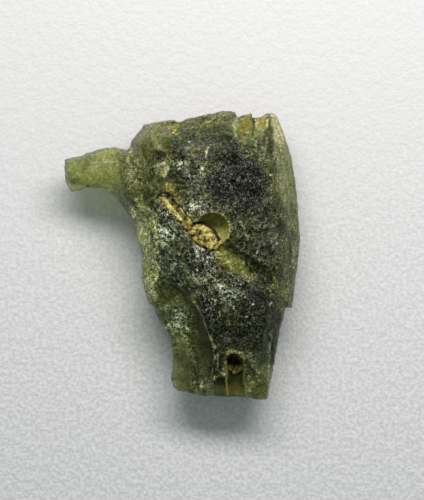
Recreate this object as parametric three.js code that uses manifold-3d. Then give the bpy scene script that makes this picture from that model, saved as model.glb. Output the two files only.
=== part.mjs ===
// A raw moldavite: one piece of natural green impact glass, with dried clay left in its open bubble and in
// the crack that runs into it.
//
// Units are millimetres, +Z is up and the stone rests on z = 0, on its flattest side. +Y points along the
// stone to its blunt, scalloped end, and -X to its spout. The origin is under the middle of the whole piece.
//
// The glass is the zero level of a field, which is negative inside the stone and is polygonised as a surface
// net. Then the bubbles, the crack, the channels and the scallops are cut out of it.

import * as THREE from "three";
import { mergeVertices } from "three/addons/utils/BufferGeometryUtils.js";
import Module from "manifold-3d";

const { clamp, lerp, smoothstep } = THREE.MathUtils;

// ---------------------------------------------------------------- driving dimensions

const CELL = 0.7; // edge of a cell of the surface net
const FACET = 0.5; // edge of a facet on a round cut
const ABOVE = 12; // higher than any of the stone
const NET_BOX = new THREE.Box3(new THREE.Vector3(-14.7, -17.5, -2.1), new THREE.Vector3(14.7, 17.5, ABOVE));

const CROWN = { at: [4, 3], height: 9.2, fall: [0.012, 0.009] }; // the thick middle, and how it falls away
const KEEL = { at: [3.2, 0.6], height: -0.35, rise: [0.034, 0.011] }; // the underside, which is flat at z = 0
const RIM = { low: 3.0, high: 5.3, round: 0.3 }; // heights of the side wall's edges, and their rounding
const BEVEL = { above: 1.6, below: 1.25 }; // how steeply the faces leave those edges
const LEFT_SIDE = { x: -4.5, height: 7.2, slope: 0.45 }; // the gentle slope of the upper side's left half
const FOOT_END = { from: 11.5, to: 14, rimLow: 1.7, bevel: 3 }; // the broken end, by its -y
const FOOT_FLAT = { from: 7.8, to: 9.4, x: -0.9, height: 5.4, slope: 0.9 };
const SPOUT = { from: 3.6, to: 6.4, low: 2.75, high: 6.5, round: 1.5 }; // by its -x
const FLANK = { crest: [10.65, -4.5], bend: 0.0062, height: 7.9, slope: 1.55 }; // right of a bent crest
const WALL_BULGE = 0.05; // how much the side wall leans in, per square millimetre above or below its middle
const NET_LOSS = 0.1; // how much the net's cells and the rounded edges take off the outline
const FACE_ROUND = 0.6; // radius of the edge where the upper side and the underside meet
const FACE_BLEND = 0.7; // width over which the slopes of one side run into each other

const BUBBLE = { at: [2.98, 2.79, 8.95], radius: 1.9 };
const DEEP_BUBBLE = { at: [5.5, -10.75, 6.1], radius: 0.85 };
const CRACK = { floor: 6.8, clayTop: 8.3, rise: 0.28 }; // heights at x = 0, and their rise with x
const CLAY_LUMP = { at: [2.45, 1.95, 7.7], half: [2.1, 1.3, 1.25], turn: -0.7 };
const CLEARANCE = 0.12; // between the clay and the glass around it

// ---------------------------------------------------------------- outlines, seen from above

const BLUNT_END = [
  [-5.25, 11.2], [-5.15, 11.95], [-3.8, 13.5], [-2.55, 13.8], [-0.1, 13.85], [1.55, 14.4], [4.2, 14.95],
  [5.6, 14.85], [5.8, 14.3], [7.25, 14.75], [7.5, 14.3], [8.1, 14.3], [8.7, 14.7], [9.35, 14.8], [9.95, 14.4],
];
const RIGHT_FLANK = [
  [10.3, 13.4], [11.4, 10.2], [12.0, 6.3], [12.25, 2.0], [12.2, 0.4], [11.75, -3.0], [11.65, -4.4],
  [11.5, -5.4],
];
const STEP = [[10.7, -5.45]];
const FOOT = [
  [10.55, -6.5], [10.15, -8.1], [9.35, -12.6], [9.1, -14.3], [8.9, -14.9], [7.9, -15.0], [7.1, -14.8],
  [6.0, -14.6], [2.8, -14.5], [1.1, -14.3], [-0.35, -14.0], [-0.7, -13.55],
];
const LEFT_FLANK = [
  [-0.85, -12.6], [-0.75, -10.6], [-1.35, -8.3], [-2.8, -5.5], [-3.9, -3.5], [-4.05, -2.3], [-3.95, -0.9],
  [-4.1, 0.5], [-4.85, 3.3], [-5.45, 4.1],
];
const SPOUT_SIDES = [
  [-6.1, 4.95], [-6.7, 5.75], [-7.5, 6.5], [-8.5, 6.95], [-9.65, 6.9], [-10.6, 6.65], [-11.5, 6.5],
  [-12.05, 7.5], [-12.25, 8.95], [-12.15, 9.95], [-11.6, 10.15], [-10.6, 10.35], [-9.95, 10.7],
  [-8.95, 11.0], [-7.9, 11.2], [-6.9, 11.25], [-5.75, 11.0],
];
const OUTLINE = [BLUNT_END, RIGHT_FLANK, STEP, FOOT, LEFT_FLANK, SPOUT_SIDES].flat();

// The mouth of the crack, from its narrow start to where it opens into the bubble.
const CRACK_MOUTH = [
  [-2.5, 6.3], [-1.4, 5.05], [-0.45, 3.75], [0.35, 2.65], [1.0, 1.9], [1.9, 2.2], [1.15, 3.35], [0.1, 4.35],
  [-0.9, 5.45], [-1.7, 6.35],
];

// ---------------------------------------------------------------- hollows

// Broad hollows that flakes of glass left: rounded gouges, with x, y, z and radius at each point of a route.
const GOUGES = [
  [[-3.9, -1.9, 9.6, 3], [-1.6, -5, 9.5, 3.4], [-0.4, -8, 9.3, 3.4], [0.6, -11, 8.6, 3], [1, -17, 8.2, 2.7]],
  [[-5.0, -6, 8.2, 3.0], [-3.4, -9.5, 8.0, 3.1], [-2.6, -16, 7.8, 2.9]],
  [[3.9, 0.4, 9.95, 1.5], [6.2, -1.2, 9.75, 1.65], [8.4, -2.6, 9.2, 1.45]],
  [[-10, 14.4, 7.8, 1.9], [-6.0, 11.6, 8.6, 1.9]],
  [[-1.5, 9.0, 11.5, 2.5], [-2.9, 11.6, 10.3, 2.9]],
  [[9.9, -10.2, 8.5, 2.0], [8.1, -17, 7.5, 2.2]],
  [[-10, -1.5, -1.2, 3.2], [-3.2, 2.4, -1.4, 3.2], [-0.6, 10, -2.6, 3.5]],
  [[14.9, -10.5, -1.4, 3.4], [7.5, -13.9, -2.7, 3.6]],
  [[15.2, 14, 0.2, 3.6], [14.6, 5, -0.8, 3.7]],
  [[0.5, -5.2, -3.6, 3.9], [-5, -9.5, -3.0, 4.2]],
];

// Lumps of the whole skin, by height and by the distance over which they change.
const LUMPS = [
  { height: 0.34, size: [3.1, 3.6, 3.1] },
  { height: 0.2, size: [1.5, 1.6, 1.5] },
];

// Shallow dents of etching, strewn over the upper side.
const DENTS = { count: 34, middle: [3.4, 1.5], spread: [6.4, 11.5], radius: 0.95, depth: 0.3 };

// Channels that drawn-out bubbles left at the foot of the stone, each a tube along its points.
const CHANNELS = [
  { points: [[5.5, -10.75, 6.85], [5.6, -12.4, 6.5], [5.8, -15.8, 6.2]], radius: 0.95 },
  { points: [[4.0, -12.9, 6.5], [4.05, -15.8, 6.2]], radius: 0.58 },
];

// Scallops in the blunt end, as tubes that run down its slope.
const SCALLOPS = [
  { points: [[6.55, 12.6, 8.5], [6.55, 13.6, 7.2], [6.5, 16.5, 5.2]], radius: 0.85 },
  { points: [[7.95, 12.9, 8.2], [8.0, 13.7, 7.0], [8.05, 16.5, 5.2]], radius: 0.55 },
];

// ---------------------------------------------------------------- field helpers

// Distance to a closed outline in plan: negative inside, positive outside.
function toOutline(x, y, outline) {
  let nearest = Infinity;
  let inside = false;
  outline.forEach(([ax, ay], i) => {
    const [bx, by] = outline.at(i - 1);
    const reach = (x - ax) * (bx - ax) + (y - ay) * (by - ay);
    const along = clamp(reach / ((bx - ax) ** 2 + (by - ay) ** 2), 0, 1);
    nearest = Math.min(nearest, Math.hypot(x - lerp(ax, bx, along), y - lerp(ay, by, along)));
    if (ay > y !== by > y && x < ((bx - ax) * (y - ay)) / (by - ay) + ax) inside = !inside;
  });
  return inside ? -nearest : nearest;
}

// The larger of two fields, with the edge between them rounded to a radius.
function roundMax(a, b, radius) {
  return Math.min(-radius, Math.max(a, b)) + Math.hypot(Math.max(a + radius, 0), Math.max(b + radius, 0));
}

// The smaller of two heights, with the crest between them blended over a width.
function softMin(a, b, width) {
  const share = clamp(0.5 + (b - a) / (2 * width), 0, 1);
  return lerp(b, a, share) - width * share * (1 - share);
}

// How far a point is inside a gouge: its radius there less the distance to its route.
const line = new THREE.Line3();
const nearestPoint = new THREE.Vector3();
function insideGouge(point, route) {
  let deepest = -Infinity;
  for (let i = 1; i < route.length; i++) {
    line.start.fromArray(route[i - 1]);
    line.end.fromArray(route[i]);
    const along = line.closestPointToPointParameter(point, true);
    const radius = lerp(route[i - 1][3], route[i][3], along);
    deepest = Math.max(deepest, radius - point.distanceTo(line.at(along, nearestPoint)));
  }
  return deepest;
}

// A number from -1 to 1 for each whole-numbered place, always the same for that place.
function scatter(i, j, k) {
  const wild = Math.sin(i * 127.1 + j * 311.7 + k * 74.7) * 43758.5453;
  return 2 * (wild - Math.floor(wild)) - 1;
}

// Smooth noise from -1 to 1 that changes over about one unit.
function smoothNoise(x, y, z) {
  const [i, j, k] = [x, y, z].map(Math.floor);
  const [u, v, w] = [x - i, y - j, z - k].map((t) => t * t * (3 - 2 * t));
  const row = (dj, dk) => lerp(scatter(i, j + dj, k + dk), scatter(i + 1, j + dj, k + dk), u);
  return lerp(lerp(row(0, 0), row(1, 0), v), lerp(row(0, 1), row(1, 1), v), w);
}

// ---------------------------------------------------------------- the stone as a field

const dents = Array.from({ length: DENTS.count }, (_, i) => ({
  x: DENTS.middle[0] + DENTS.spread[0] * scatter(i, 1, 0),
  y: DENTS.middle[1] + DENTS.spread[1] * scatter(i, 2, 0),
  radius: DENTS.radius * (1 + 0.4 * scatter(i, 3, 0)),
}));

// How deep the dents are at a place in plan.
function dentDepth(x, y) {
  const depths = dents.map((dent) => DENTS.depth * (1 - Math.hypot(x - dent.x, y - dent.y) / dent.radius));
  return Math.max(0, ...depths);
}

function unevenness(x, y, z) {
  const noise = ({ height, size: [a, b, c] }) => height * smoothNoise(x / a, y / b, z / c);
  return LUMPS.reduce((sum, lumps) => sum + noise(lumps), 0);
}

// A shallow bowl or dome in plan: zero at its middle, rising with the square of the distance.
function bowl(x, y, [middleX, middleY], [alongX, alongY]) {
  return alongX * (x - middleX) ** 2 + alongY * (y - middleY) ** 2;
}

// Height of the upper side: a worn crown that slopes down to the left, cut back by the bevel round the rim,
// by the slanting right flank, by the spout and by a small flat at the foot.
function upperSide(x, y, depth, atSpout, atFoot) {
  const crown = CROWN.height - bowl(x, y, CROWN.at, CROWN.fall);
  const leftSide = LEFT_SIDE.height + LEFT_SIDE.slope * Math.max(x - LEFT_SIDE.x, 0);
  const bevel = RIM.high + lerp(BEVEL.above, FOOT_END.bevel, atFoot) * depth;
  const flank = FLANK.height - FLANK.slope * (x - FLANK.crest[0] + FLANK.bend * (y - FLANK.crest[1]) ** 2);
  const atFlat = smoothstep(-y, FOOT_FLAT.from, FOOT_FLAT.to);
  const flat = lerp(ABOVE, FOOT_FLAT.height + FOOT_FLAT.slope * (x - FOOT_FLAT.x), atFlat);
  const middle = softMin(crown, leftSide, FACE_BLEND);
  const broad = softMin(softMin(middle, bevel, FACE_BLEND), flank, 0.4 * FACE_BLEND);
  return softMin(softMin(broad, flat, FACE_BLEND / 2), lerp(ABOVE, SPOUT.high, atSpout), FACE_BLEND);
}

// Height of the underside: a shallow keel, rising to the rim at the sides and to the spout.
function underside(x, y, depth, rimLow) {
  const keel = softMin(KEEL.height + bowl(x, y, KEEL.at, KEEL.rise), SPOUT.low, FACE_BLEND);
  return -softMin(-keel, BEVEL.below * depth - rimLow, FACE_BLEND);
}

const point = new THREE.Vector3();
function stoneField(x, y, z) {
  const rim = toOutline(x, y, OUTLINE) - NET_LOSS;
  const depth = Math.max(-rim, 0);
  const atFoot = smoothstep(-y, FOOT_END.from, FOOT_END.to);
  const atSpout = smoothstep(-x, SPOUT.from, SPOUT.to);
  const rimLow = lerp(RIM.low, FOOT_END.rimLow, atFoot);
  const wall = rim + WALL_BULGE * (z - (RIM.high + rimLow) / 2) ** 2;
  const above = z - upperSide(x, y, depth, atSpout, atFoot) + dentDepth(x, y);
  const below = underside(x, y, depth, rimLow) - z;
  const faces = roundMax(above, below, FACE_ROUND) + unevenness(x, y, z);
  const body = roundMax(wall, faces, lerp(RIM.round, SPOUT.round, atSpout));
  point.set(x, y, z);
  return Math.max(body, -z, ...GOUGES.map((route) => insideGouge(point, route)));
}

// ---------------------------------------------------------------- surface net

const FACE_DIRECTIONS = [[0, 1], [1, 2], [0, 2]];
const BARELY_INSIDE = -1e-3;

// Where the four corners of a cell's face are inside and outside in turn, the net would touch itself along an
// edge. Putting the corner that is least far outside just inside keeps the net one closed skin there.
function closeSaddles(values, strides) {
  for (let changed = true; changed; ) {
    changed = false;
    for (const [s, t] of FACE_DIRECTIONS)
      for (let n = 0; n + strides[s] + strides[t] < values.length; n++) {
        const face = [n, n + strides[s], n + strides[s] + strides[t], n + strides[t]];
        const [a, b, c, d] = face.map((m) => values[m] < 0);
        if (a !== c || b !== d || a === b) continue;
        const outside = face.filter((m) => values[m] >= 0).sort((m, n) => values[m] - values[n]);
        values[outside[0]] = BARELY_INSIDE;
        changed = true;
      }
  }
}

// The zero level of a field inside a box, with one vertex in each cell that the surface crosses.
class SurfaceNetGeometry extends THREE.BufferGeometry {
  constructor(field, box, cell) {
    super();
    const count = box.getSize(new THREE.Vector3()).divideScalar(cell).round().addScalar(1);
    const strides = [1, count.x, count.x * count.y];
    const node = (i, j, k) => i + j * strides[1] + k * strides[2];
    const place = (i, j, k) => new THREE.Vector3(i, j, k).multiplyScalar(cell).add(box.min);
    const eachNode = (start, use) => {
      for (let k = start; k < count.z - 1; k++)
        for (let j = start; j < count.y - 1; j++) for (let i = start; i < count.x - 1; i++) use(i, j, k);
    };

    const values = new Float64Array(count.x * count.y * count.z).fill(1);
    eachNode(0, (i, j, k) => (values[node(i, j, k)] = field(...place(i, j, k))));
    closeSaddles(values, strides);

    const corners = Array.from({ length: 8 }, (_, c) => [c & 1, (c >> 1) & 1, c >> 2]);
    const edges = corners.flatMap((_, c) => [1, 2, 4].filter((bit) => !(c & bit)).map((bit) => [c, c | bit]));
    const positions = [];
    const vertexOf = new Map();
    eachNode(0, (i, j, k) => {
      const at = corners.map(([di, dj, dk]) => values[node(i + di, j + dj, k + dk)]);
      const crossed = edges.filter(([a, b]) => at[a] < 0 !== at[b] < 0);
      if (!crossed.length) return;
      const middle = [0, 1, 2].map((axis) => {
        const cut = ([a, b]) => lerp(corners[a][axis], corners[b][axis], at[a] / (at[a] - at[b]));
        return crossed.reduce((sum, edge) => sum + cut(edge), 0) / crossed.length;
      });
      vertexOf.set(node(i, j, k), positions.length / 3);
      positions.push(...place(i + middle[0], j + middle[1], k + middle[2]));
    });

    const at = (m) => new THREE.Vector3().fromArray(positions, 3 * m);
    const span = (m, n) => at(m).distanceTo(at(n));
    const index = [];
    const steps = [[1, 0, 0], [0, 1, 0], [0, 0, 1]];
    const ring = [[0, 0], [1, 0], [1, 1], [0, 1]];
    eachNode(1, (i, j, k) => {
      const inside = values[node(i, j, k)] < 0;
      steps.forEach((step, axis) => {
        if (inside === values[node(i + step[0], j + step[1], k + step[2])] < 0) return;
        const [u, v] = [steps[(axis + 1) % 3], steps[(axis + 2) % 3]];
        const around = ring.map(([s, t]) =>
          vertexOf.get(node(i - s * u[0] - t * v[0], j - s * u[1] - t * v[1], k - s * u[2] - t * v[2])),
        );
        const [a, b, c, d] = inside ? around : around.reverse();
        index.push(...(span(a, c) < span(b, d) ? [a, b, c, a, c, d] : [a, b, d, b, c, d]));
      });
    });
    this.setAttribute("position", new THREE.Float32BufferAttribute(positions, 3));
    this.setIndex(index);
  }
}

// ---------------------------------------------------------------- solids

const wasm = await Module();
wasm.setup();

function solid(geometry) {
  const bare = new THREE.BufferGeometry().setAttribute("position", geometry.getAttribute("position"));
  if (geometry.index) bare.setIndex(geometry.index);
  const merged = mergeVertices(bare, 1e-4);
  return new wasm.Manifold(
    new wasm.Mesh({
      numProp: 3,
      vertProperties: new Float32Array(merged.attributes.position.array),
      triVerts: new Uint32Array(merged.index.array),
    }),
  );
}

function geometryOf(manifold) {
  const mesh = manifold.getMesh();
  return new THREE.BufferGeometry()
    .setAttribute("position", new THREE.Float32BufferAttribute(mesh.vertProperties, 3))
    .setIndex(Array.from(mesh.triVerts));
}

function ball(at, radius) {
  const detail = Math.round(radius / FACET);
  return solid(new THREE.IcosahedronGeometry(radius, detail).translate(...at));
}

// A tube along points, with a round start and a cut end.
function tube({ points, radius }) {
  const route = new THREE.CatmullRomCurve3(points.map((p) => new THREE.Vector3(...p)));
  const section = new THREE.Shape().absarc(0, 0, radius, 0, 2 * Math.PI);
  const run = new THREE.ExtrudeGeometry(section, { steps: 6, curveSegments: 6, extrudePath: route });
  return solid(run).add(ball(points[0], radius));
}

// An upright block with an outline in plan, between two faces that rise with x.
function block(outline, low, high, rise) {
  const shape = new THREE.Shape(outline.map(([x, y]) => new THREE.Vector2(x, y)));
  const geometry = new THREE.ExtrudeGeometry(shape, { depth: high - low, bevelEnabled: false });
  const tilt = new THREE.Matrix4().makeShear(0, rise, 0, 0, 0, 0);
  return solid(geometry.translate(0, 0, low).applyMatrix4(tilt));
}

// An anticlockwise outline with every side moved inwards by a distance.
function shrunk(outline, distance) {
  const inwards = outline.map(([x, y], i) => {
    const [nextX, nextY] = outline[(i + 1) % outline.length];
    return new THREE.Vector2(y - nextY, nextX - x).normalize();
  });
  return outline.map(([x, y], i) => {
    const before = inwards.at(i - 1);
    const shift = before.clone().add(inwards[i]).multiplyScalar(distance / (1 + before.dot(inwards[i])));
    return [x + shift.x, y + shift.y];
  });
}

function makeGlass() {
  const net = solid(new SurfaceNetGeometry(stoneField, NET_BOX, CELL));
  const cuts = [
    ball(BUBBLE.at, BUBBLE.radius),
    ball(DEEP_BUBBLE.at, DEEP_BUBBLE.radius),
    block(CRACK_MOUTH, CRACK.floor, ABOVE, CRACK.rise),
    ...CHANNELS.map(tube),
    ...SCALLOPS.map(tube),
  ];
  return cuts.reduce((glass, cut) => glass.subtract(cut), net);
}

function makeClay() {
  const { at, half, turn } = CLAY_LUMP;
  const lump = solid(new THREE.IcosahedronGeometry(1, 4).scale(...half).rotateZ(turn).translate(...at));
  const inBubble = lump.intersect(ball(BUBBLE.at, BUBBLE.radius - CLEARANCE));
  const seam = block(shrunk(CRACK_MOUTH, CLEARANCE), CRACK.floor + CLEARANCE, CRACK.clayTop, CRACK.rise);
  return inBubble.add(seam);
}

const glass = geometryOf(makeGlass());
const clay = geometryOf(makeClay());

glass.computeBoundingBox();
const middle = glass.boundingBox.getCenter(new THREE.Vector3());
for (const geometry of [glass, clay]) {
  geometry.translate(-middle.x, -middle.y, 0);
  geometry.computeVertexNormals();
}

// ---------------------------------------------------------------- the part

const moldavite = new THREE.Mesh(
  glass,
  new THREE.MeshStandardMaterial({ color: 0x4b5636, roughness: 0.45, metalness: 0 }),
);
moldavite.name = "moldavite";

const clayFill = new THREE.Mesh(
  clay,
  new THREE.MeshStandardMaterial({ color: 0xb8a05c, roughness: 0.95, metalness: 0 }),
);
clayFill.name = "clay_fill";

const part = new THREE.Group();
part.name = "raw_moldavite";
part.add(moldavite, clayFill);

export default part;
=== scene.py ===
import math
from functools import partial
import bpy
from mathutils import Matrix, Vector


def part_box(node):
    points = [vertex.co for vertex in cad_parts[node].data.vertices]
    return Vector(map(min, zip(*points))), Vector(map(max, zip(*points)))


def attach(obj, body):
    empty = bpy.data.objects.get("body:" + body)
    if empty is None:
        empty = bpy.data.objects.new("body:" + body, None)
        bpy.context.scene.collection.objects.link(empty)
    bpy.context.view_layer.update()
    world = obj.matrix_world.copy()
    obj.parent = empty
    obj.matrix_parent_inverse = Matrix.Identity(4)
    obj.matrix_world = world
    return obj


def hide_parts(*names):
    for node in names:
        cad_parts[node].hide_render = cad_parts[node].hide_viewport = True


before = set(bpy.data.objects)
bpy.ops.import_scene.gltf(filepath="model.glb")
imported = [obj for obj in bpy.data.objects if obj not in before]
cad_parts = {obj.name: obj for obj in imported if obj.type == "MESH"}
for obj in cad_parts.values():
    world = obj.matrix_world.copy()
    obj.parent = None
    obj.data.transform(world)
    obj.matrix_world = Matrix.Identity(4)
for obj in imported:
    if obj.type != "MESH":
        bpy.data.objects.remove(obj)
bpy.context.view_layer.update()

# A raw moldavite with dried clay in its open bubble and its crack.
# Both pieces are made as fields: a field is negative inside the solid, in millimetres, on a fine grid. A
# surface net turns its zero level into a mesh, fine relief moves the mesh's points, and each point gets the
# colour, frost and gloss that the material reads. The drawn frame has +Y along the stone to its blunt end,
# -X to its spout and z = 0 under it. Fit moves what is drawn onto the CAD node's box.

from types import SimpleNamespace

import bpy
import numpy as np
from mathutils import Vector

MM = 0.001

# ---- the stone's dimensions, in millimetres

GLASS_CELL = np.array([0.126, 0.126, 0.2])
CLAY_CELL = np.array([0.07, 0.07, 0.07])
GRID_LOW = np.array([-13.2, -16.0, -0.7])
GRID_HIGH = np.array([13.2, 16.0, 10.6])
ABOVE = 12.0

CROWN = {"at": (4, 3), "height": 9.2, "fall": (0.012, 0.009)}
KEEL = {"at": (3.2, 0.6), "height": -0.35, "rise": (0.034, 0.011)}
RIM = {"low": 3.0, "high": 5.3, "round": 0.22}
BEVEL = {"above": 1.6, "below": 1.25}
LEFT_SIDE = {"x": -4.5, "height": 7.2, "slope": 0.45}
FOOT_END = {"from": 11.5, "to": 14, "rim_low": 1.7, "bevel": 3}
FOOT_FLAT = {"from": 7.8, "to": 9.4, "x": -0.9, "height": 5.4, "slope": 0.9}
SPOUT = {"from": 3.6, "to": 6.4, "low": 2.75, "high": 6.5, "round": 1.5}
FLANK = {"crest": (10.65, -4.5), "bend": 0.0062, "height": 7.9, "slope": 1.55}
WALL_BULGE = 0.05
FACE_ROUND = 0.45
FACE_BLEND = 0.6

BUBBLE = {"at": (3.2, 2.72, 8.95), "radius": 1.68}
DEEP_BUBBLE = {"at": (5.5, -10.75, 6.1), "radius": 0.85}
CRACK = {"floor": 6.8, "clay_top": 8.65, "rise": 0.28}
CLAY_PIT = {
    "at": (2.42, 1.96), "half": (1.82, 1.07), "turn": -0.66, "floor": 7.0, "clay_top": 9.0, "dome": 0.3,
}

OUTLINE = [
    # blunt end
    (-5.25, 11.2), (-5.15, 11.95), (-4.4, 12.8), (-3.8, 13.5), (-2.55, 13.8), (-1.3, 13.95), (-0.1, 13.85),
    (0.5, 14.1), (1.55, 14.4), (2.8, 14.65), (4.2, 14.95), (5.6, 14.85), (5.8, 14.3), (7.25, 14.75),
    (7.5, 14.3), (8.1, 14.3), (8.7, 14.7), (9.35, 14.8), (9.95, 14.4),
    # right flank, with its step
    (10.3, 13.4), (10.8, 12.0), (11.4, 10.2), (11.7, 8.3), (12.0, 6.3), (12.15, 4.2), (12.25, 2.0),
    (12.2, 0.4), (12.0, -1.4), (11.75, -3.0), (11.65, -4.4), (11.5, -5.4), (10.7, -5.45),
    # foot
    (10.55, -6.5), (10.15, -8.1), (9.75, -10.2), (9.35, -12.6), (9.1, -14.3), (8.9, -14.9), (7.9, -15.0),
    (7.1, -14.8), (6.0, -14.6), (4.6, -14.6), (2.8, -14.5), (1.1, -14.3), (-0.6, -13.95), (-0.9, -13.5),
    # left flank
    (-1.02, -12.6), (-0.85, -10.6), (-1.0, -9.35), (-1.35, -8.3), (-2.15, -6.9), (-2.8, -5.5),
    (-3.45, -4.6), (-3.95, -3.5), (-4.12, -2.3), (-4.05, -0.9), (-4.2, 0.5), (-4.65, 2.2), (-4.95, 3.3),
    (-5.45, 4.1),
    # spout
    (-6.1, 4.95), (-6.7, 5.75), (-7.5, 6.5), (-8.5, 6.95), (-9.65, 6.9), (-10.6, 6.65), (-11.5, 6.5),
    (-12.05, 7.5), (-12.25, 8.95), (-12.15, 9.95), (-11.6, 10.15), (-10.6, 10.35), (-9.95, 10.7),
    (-8.95, 11.0), (-7.9, 11.2), (-6.9, 11.25), (-5.75, 11.0),
]
CRACK_MOUTH = [
    (-2.35, 6.2), (-1.45, 4.85), (-0.65, 4.1), (0.0, 3.3), (0.45, 2.75), (1.1, 2.1), (1.9, 2.3), (1.2, 3.3),
    (0.43, 4.3), (-0.29, 5.15), (-1.1, 6.1), (-1.35, 6.35), (-1.95, 6.45),
]
# Each gouge, channel and scallop is a route of x, y, z and radius.
GOUGES = [
    [(-3.9, -1.9, 9.6, 3), (-1.6, -5, 9.5, 3.4), (-0.4, -8, 9.3, 3.4), (0.6, -11, 8.6, 3),
     (1, -17, 8.2, 2.7)],
    [(-5.0, -6, 8.2, 3.0), (-3.4, -9.5, 8.0, 3.1), (-2.6, -16, 7.8, 2.9)],
    [(3.9, 0.4, 9.95, 1.5), (6.2, -1.2, 9.75, 1.65), (8.4, -2.6, 9.65, 1.45)],
    [(-10, 14.4, 7.8, 1.9), (-6.0, 11.6, 8.6, 1.9)],
    [(-1.5, 9.0, 11.6, 2.5), (-2.9, 11.6, 10.75, 2.9)],
    [(9.9, -10.2, 8.5, 2.0), (8.1, -17, 7.5, 2.2)],
    [(-10, -1.5, -1.2, 3.2), (-3.2, 2.4, -1.4, 3.2), (-0.6, 10, -2.6, 3.5)],
    [(14.9, -10.5, -1.4, 3.4), (7.5, -13.9, -2.7, 3.6)],
    [(15.2, 14, 0.2, 3.6), (14.6, 5, -0.8, 3.7)],
    [(0.5, -5.2, -3.6, 3.9), (-5, -9.5, -3.0, 4.2)],
]
CHANNELS = [
    [(5.5, -10.75, 6.85, 0.95), (5.6, -12.4, 6.5, 0.95), (5.8, -16, 6.2, 0.95)],
    [(4.0, -12.9, 6.5, 0.58), (4.05, -16, 6.2, 0.58)],
]
SCALLOPS = [
    [(6.55, 12.6, 8.5, 0.85), (6.55, 13.6, 7.2, 0.85), (6.5, 16.5, 5.2, 0.85)],
    [(7.95, 12.9, 8.2, 0.55), (8.0, 13.7, 7.0, 0.55), (8.05, 16.5, 5.2, 0.55)],
]
# Uneven parts as pairs of height and size: of the whole body, and of its outline.
LUMPS = [(0.34, (3.1, 3.6, 3.1)), (0.2, (1.5, 1.6, 1.5))]
WAVES = [(0.05, 0.7), (0.03, 0.33)]
EDGE_NOISE = {"gouge": 0.12, "channel": 0.08, "deep bubble": 0.1, "pit": 0.05, "crack": 0.06}
DENTS = {"count": 34, "middle": (3.4, 1.5), "spread": (6.4, 11.5), "radius": 0.95, "depth": 0.3}


# ---- field helpers

def smoothstep(value, low, high):
    share = np.clip((value - low) / (high - low), 0, 1)
    return share * share * (3 - 2 * share)


def lerp(a, b, share):
    return a + (b - a) * share


def round_max(a, b, radius):
    """The larger of two fields, with the edge between them rounded."""
    corner = np.hypot(np.maximum(a + radius, 0), np.maximum(b + radius, 0))
    return np.minimum(-radius, np.maximum(a, b)) + corner


def soft_min(a, b, width):
    """The smaller of two heights, with the crest between them blended."""
    share = np.clip(0.5 + (b - a) / (2 * width), 0, 1)
    return lerp(b, a, share) - width * share * (1 - share)


def scatter(i, j, k):
    """A number from -1 to 1 for each whole-numbered place, always the same for that place."""
    wild = np.sin(i * 127.1 + j * 311.7 + k * 74.7) * 43758.5453
    return 2 * (wild - np.floor(wild)) - 1


def noise(x, y, z, size):
    """Smooth noise from -1 to 1 that changes over about size millimetres, one number or one for each axis."""
    size = np.broadcast_to(size, 3)
    x, y, z = np.broadcast_arrays(x / size[0], y / size[1], z / size[2])
    i, j, k = np.floor(x), np.floor(y), np.floor(z)
    u, v, w = ((t - f) * (t - f) * (3 - 2 * (t - f)) for t, f in ((x, i), (y, j), (z, k)))

    def row(dj, dk):
        return lerp(scatter(i, j + dj, k + dk), scatter(i + 1, j + dj, k + dk), u)

    return lerp(lerp(row(0, 0), row(1, 0), v), lerp(row(0, 1), row(1, 1), v), w)


TURN = np.array([(0.36, 0.48, -0.8), (-0.8, 0.6, 0.0), (0.48, 0.64, 0.6)])


def grain(x, y, z, size, seed=0):
    """Finer noise from about -1 to 1, without a visible direction: gradient noise on a turned lattice."""
    x, y, z = (row[0] * x + row[1] * y + row[2] * z + 13.7 * seed for row in TURN / size)
    i, j, k = np.floor(x), np.floor(y), np.floor(z)
    dx, dy, dz = x - i, y - j, z - k
    u, v, w = (t * t * t * (t * (6 * t - 15) + 10) for t in (dx, dy, dz))
    total = 0
    for a, b, c in np.ndindex(2, 2, 2):
        p, q, r = i + a, j + b, k + c
        slope = scatter(p, q, r), scatter(q, r, p + 31), scatter(r, p, q + 57)
        share = (u if a else 1 - u) * (v if b else 1 - v) * (w if c else 1 - w)
        total = total + share * (slope[0] * (dx - a) + slope[1] * (dy - b) + slope[2] * (dz - c))
    return 1.6 * total


def off_segment(x, y, start, end):
    """Distance to a straight segment in plan."""
    (ax, ay), (bx, by) = start, end
    along = ((x - ax) * (bx - ax) + (y - ay) * (by - ay)) / ((bx - ax) ** 2 + (by - ay) ** 2)
    along = np.clip(along, 0, 1)
    return np.hypot(x - lerp(ax, bx, along), y - lerp(ay, by, along))


def to_outline(x, y, outline):
    """Distance to a closed outline in plan: negative inside, positive outside."""
    nearest = np.full(x.shape, np.inf)
    inside = np.zeros(x.shape, bool)
    for (ax, ay), (bx, by) in zip(outline, outline[-1:] + outline[:-1]):
        nearest = np.minimum(nearest, off_segment(x, y, (ax, ay), (bx, by)))
        if ay != by:
            inside ^= ((ay > y) != (by > y)) & (x < (bx - ax) * (y - ay) / (by - ay) + ax)
    return np.where(inside, -nearest, nearest)


def inside_route(x, y, z, route):
    """How far a point is inside a rounded gouge or tube, given as x, y, z and radius along a route."""
    deepest = np.full(np.broadcast_shapes(x.shape, y.shape, z.shape), -np.inf)
    for start, end in zip(route, route[1:]):
        (ax, ay, az, ar), (bx, by, bz, br) = start, end
        length = (bx - ax) ** 2 + (by - ay) ** 2 + (bz - az) ** 2
        along = ((x - ax) * (bx - ax) + (y - ay) * (by - ay) + (z - az) * (bz - az)) / length
        along = np.clip(along, 0, 1)
        gap = np.sqrt((x - lerp(ax, bx, along)) ** 2 + (y - lerp(ay, by, along)) ** 2
                      + (z - lerp(az, bz, along)) ** 2)
        deepest = np.maximum(deepest, lerp(ar, br, along) - gap)
    return deepest


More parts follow.
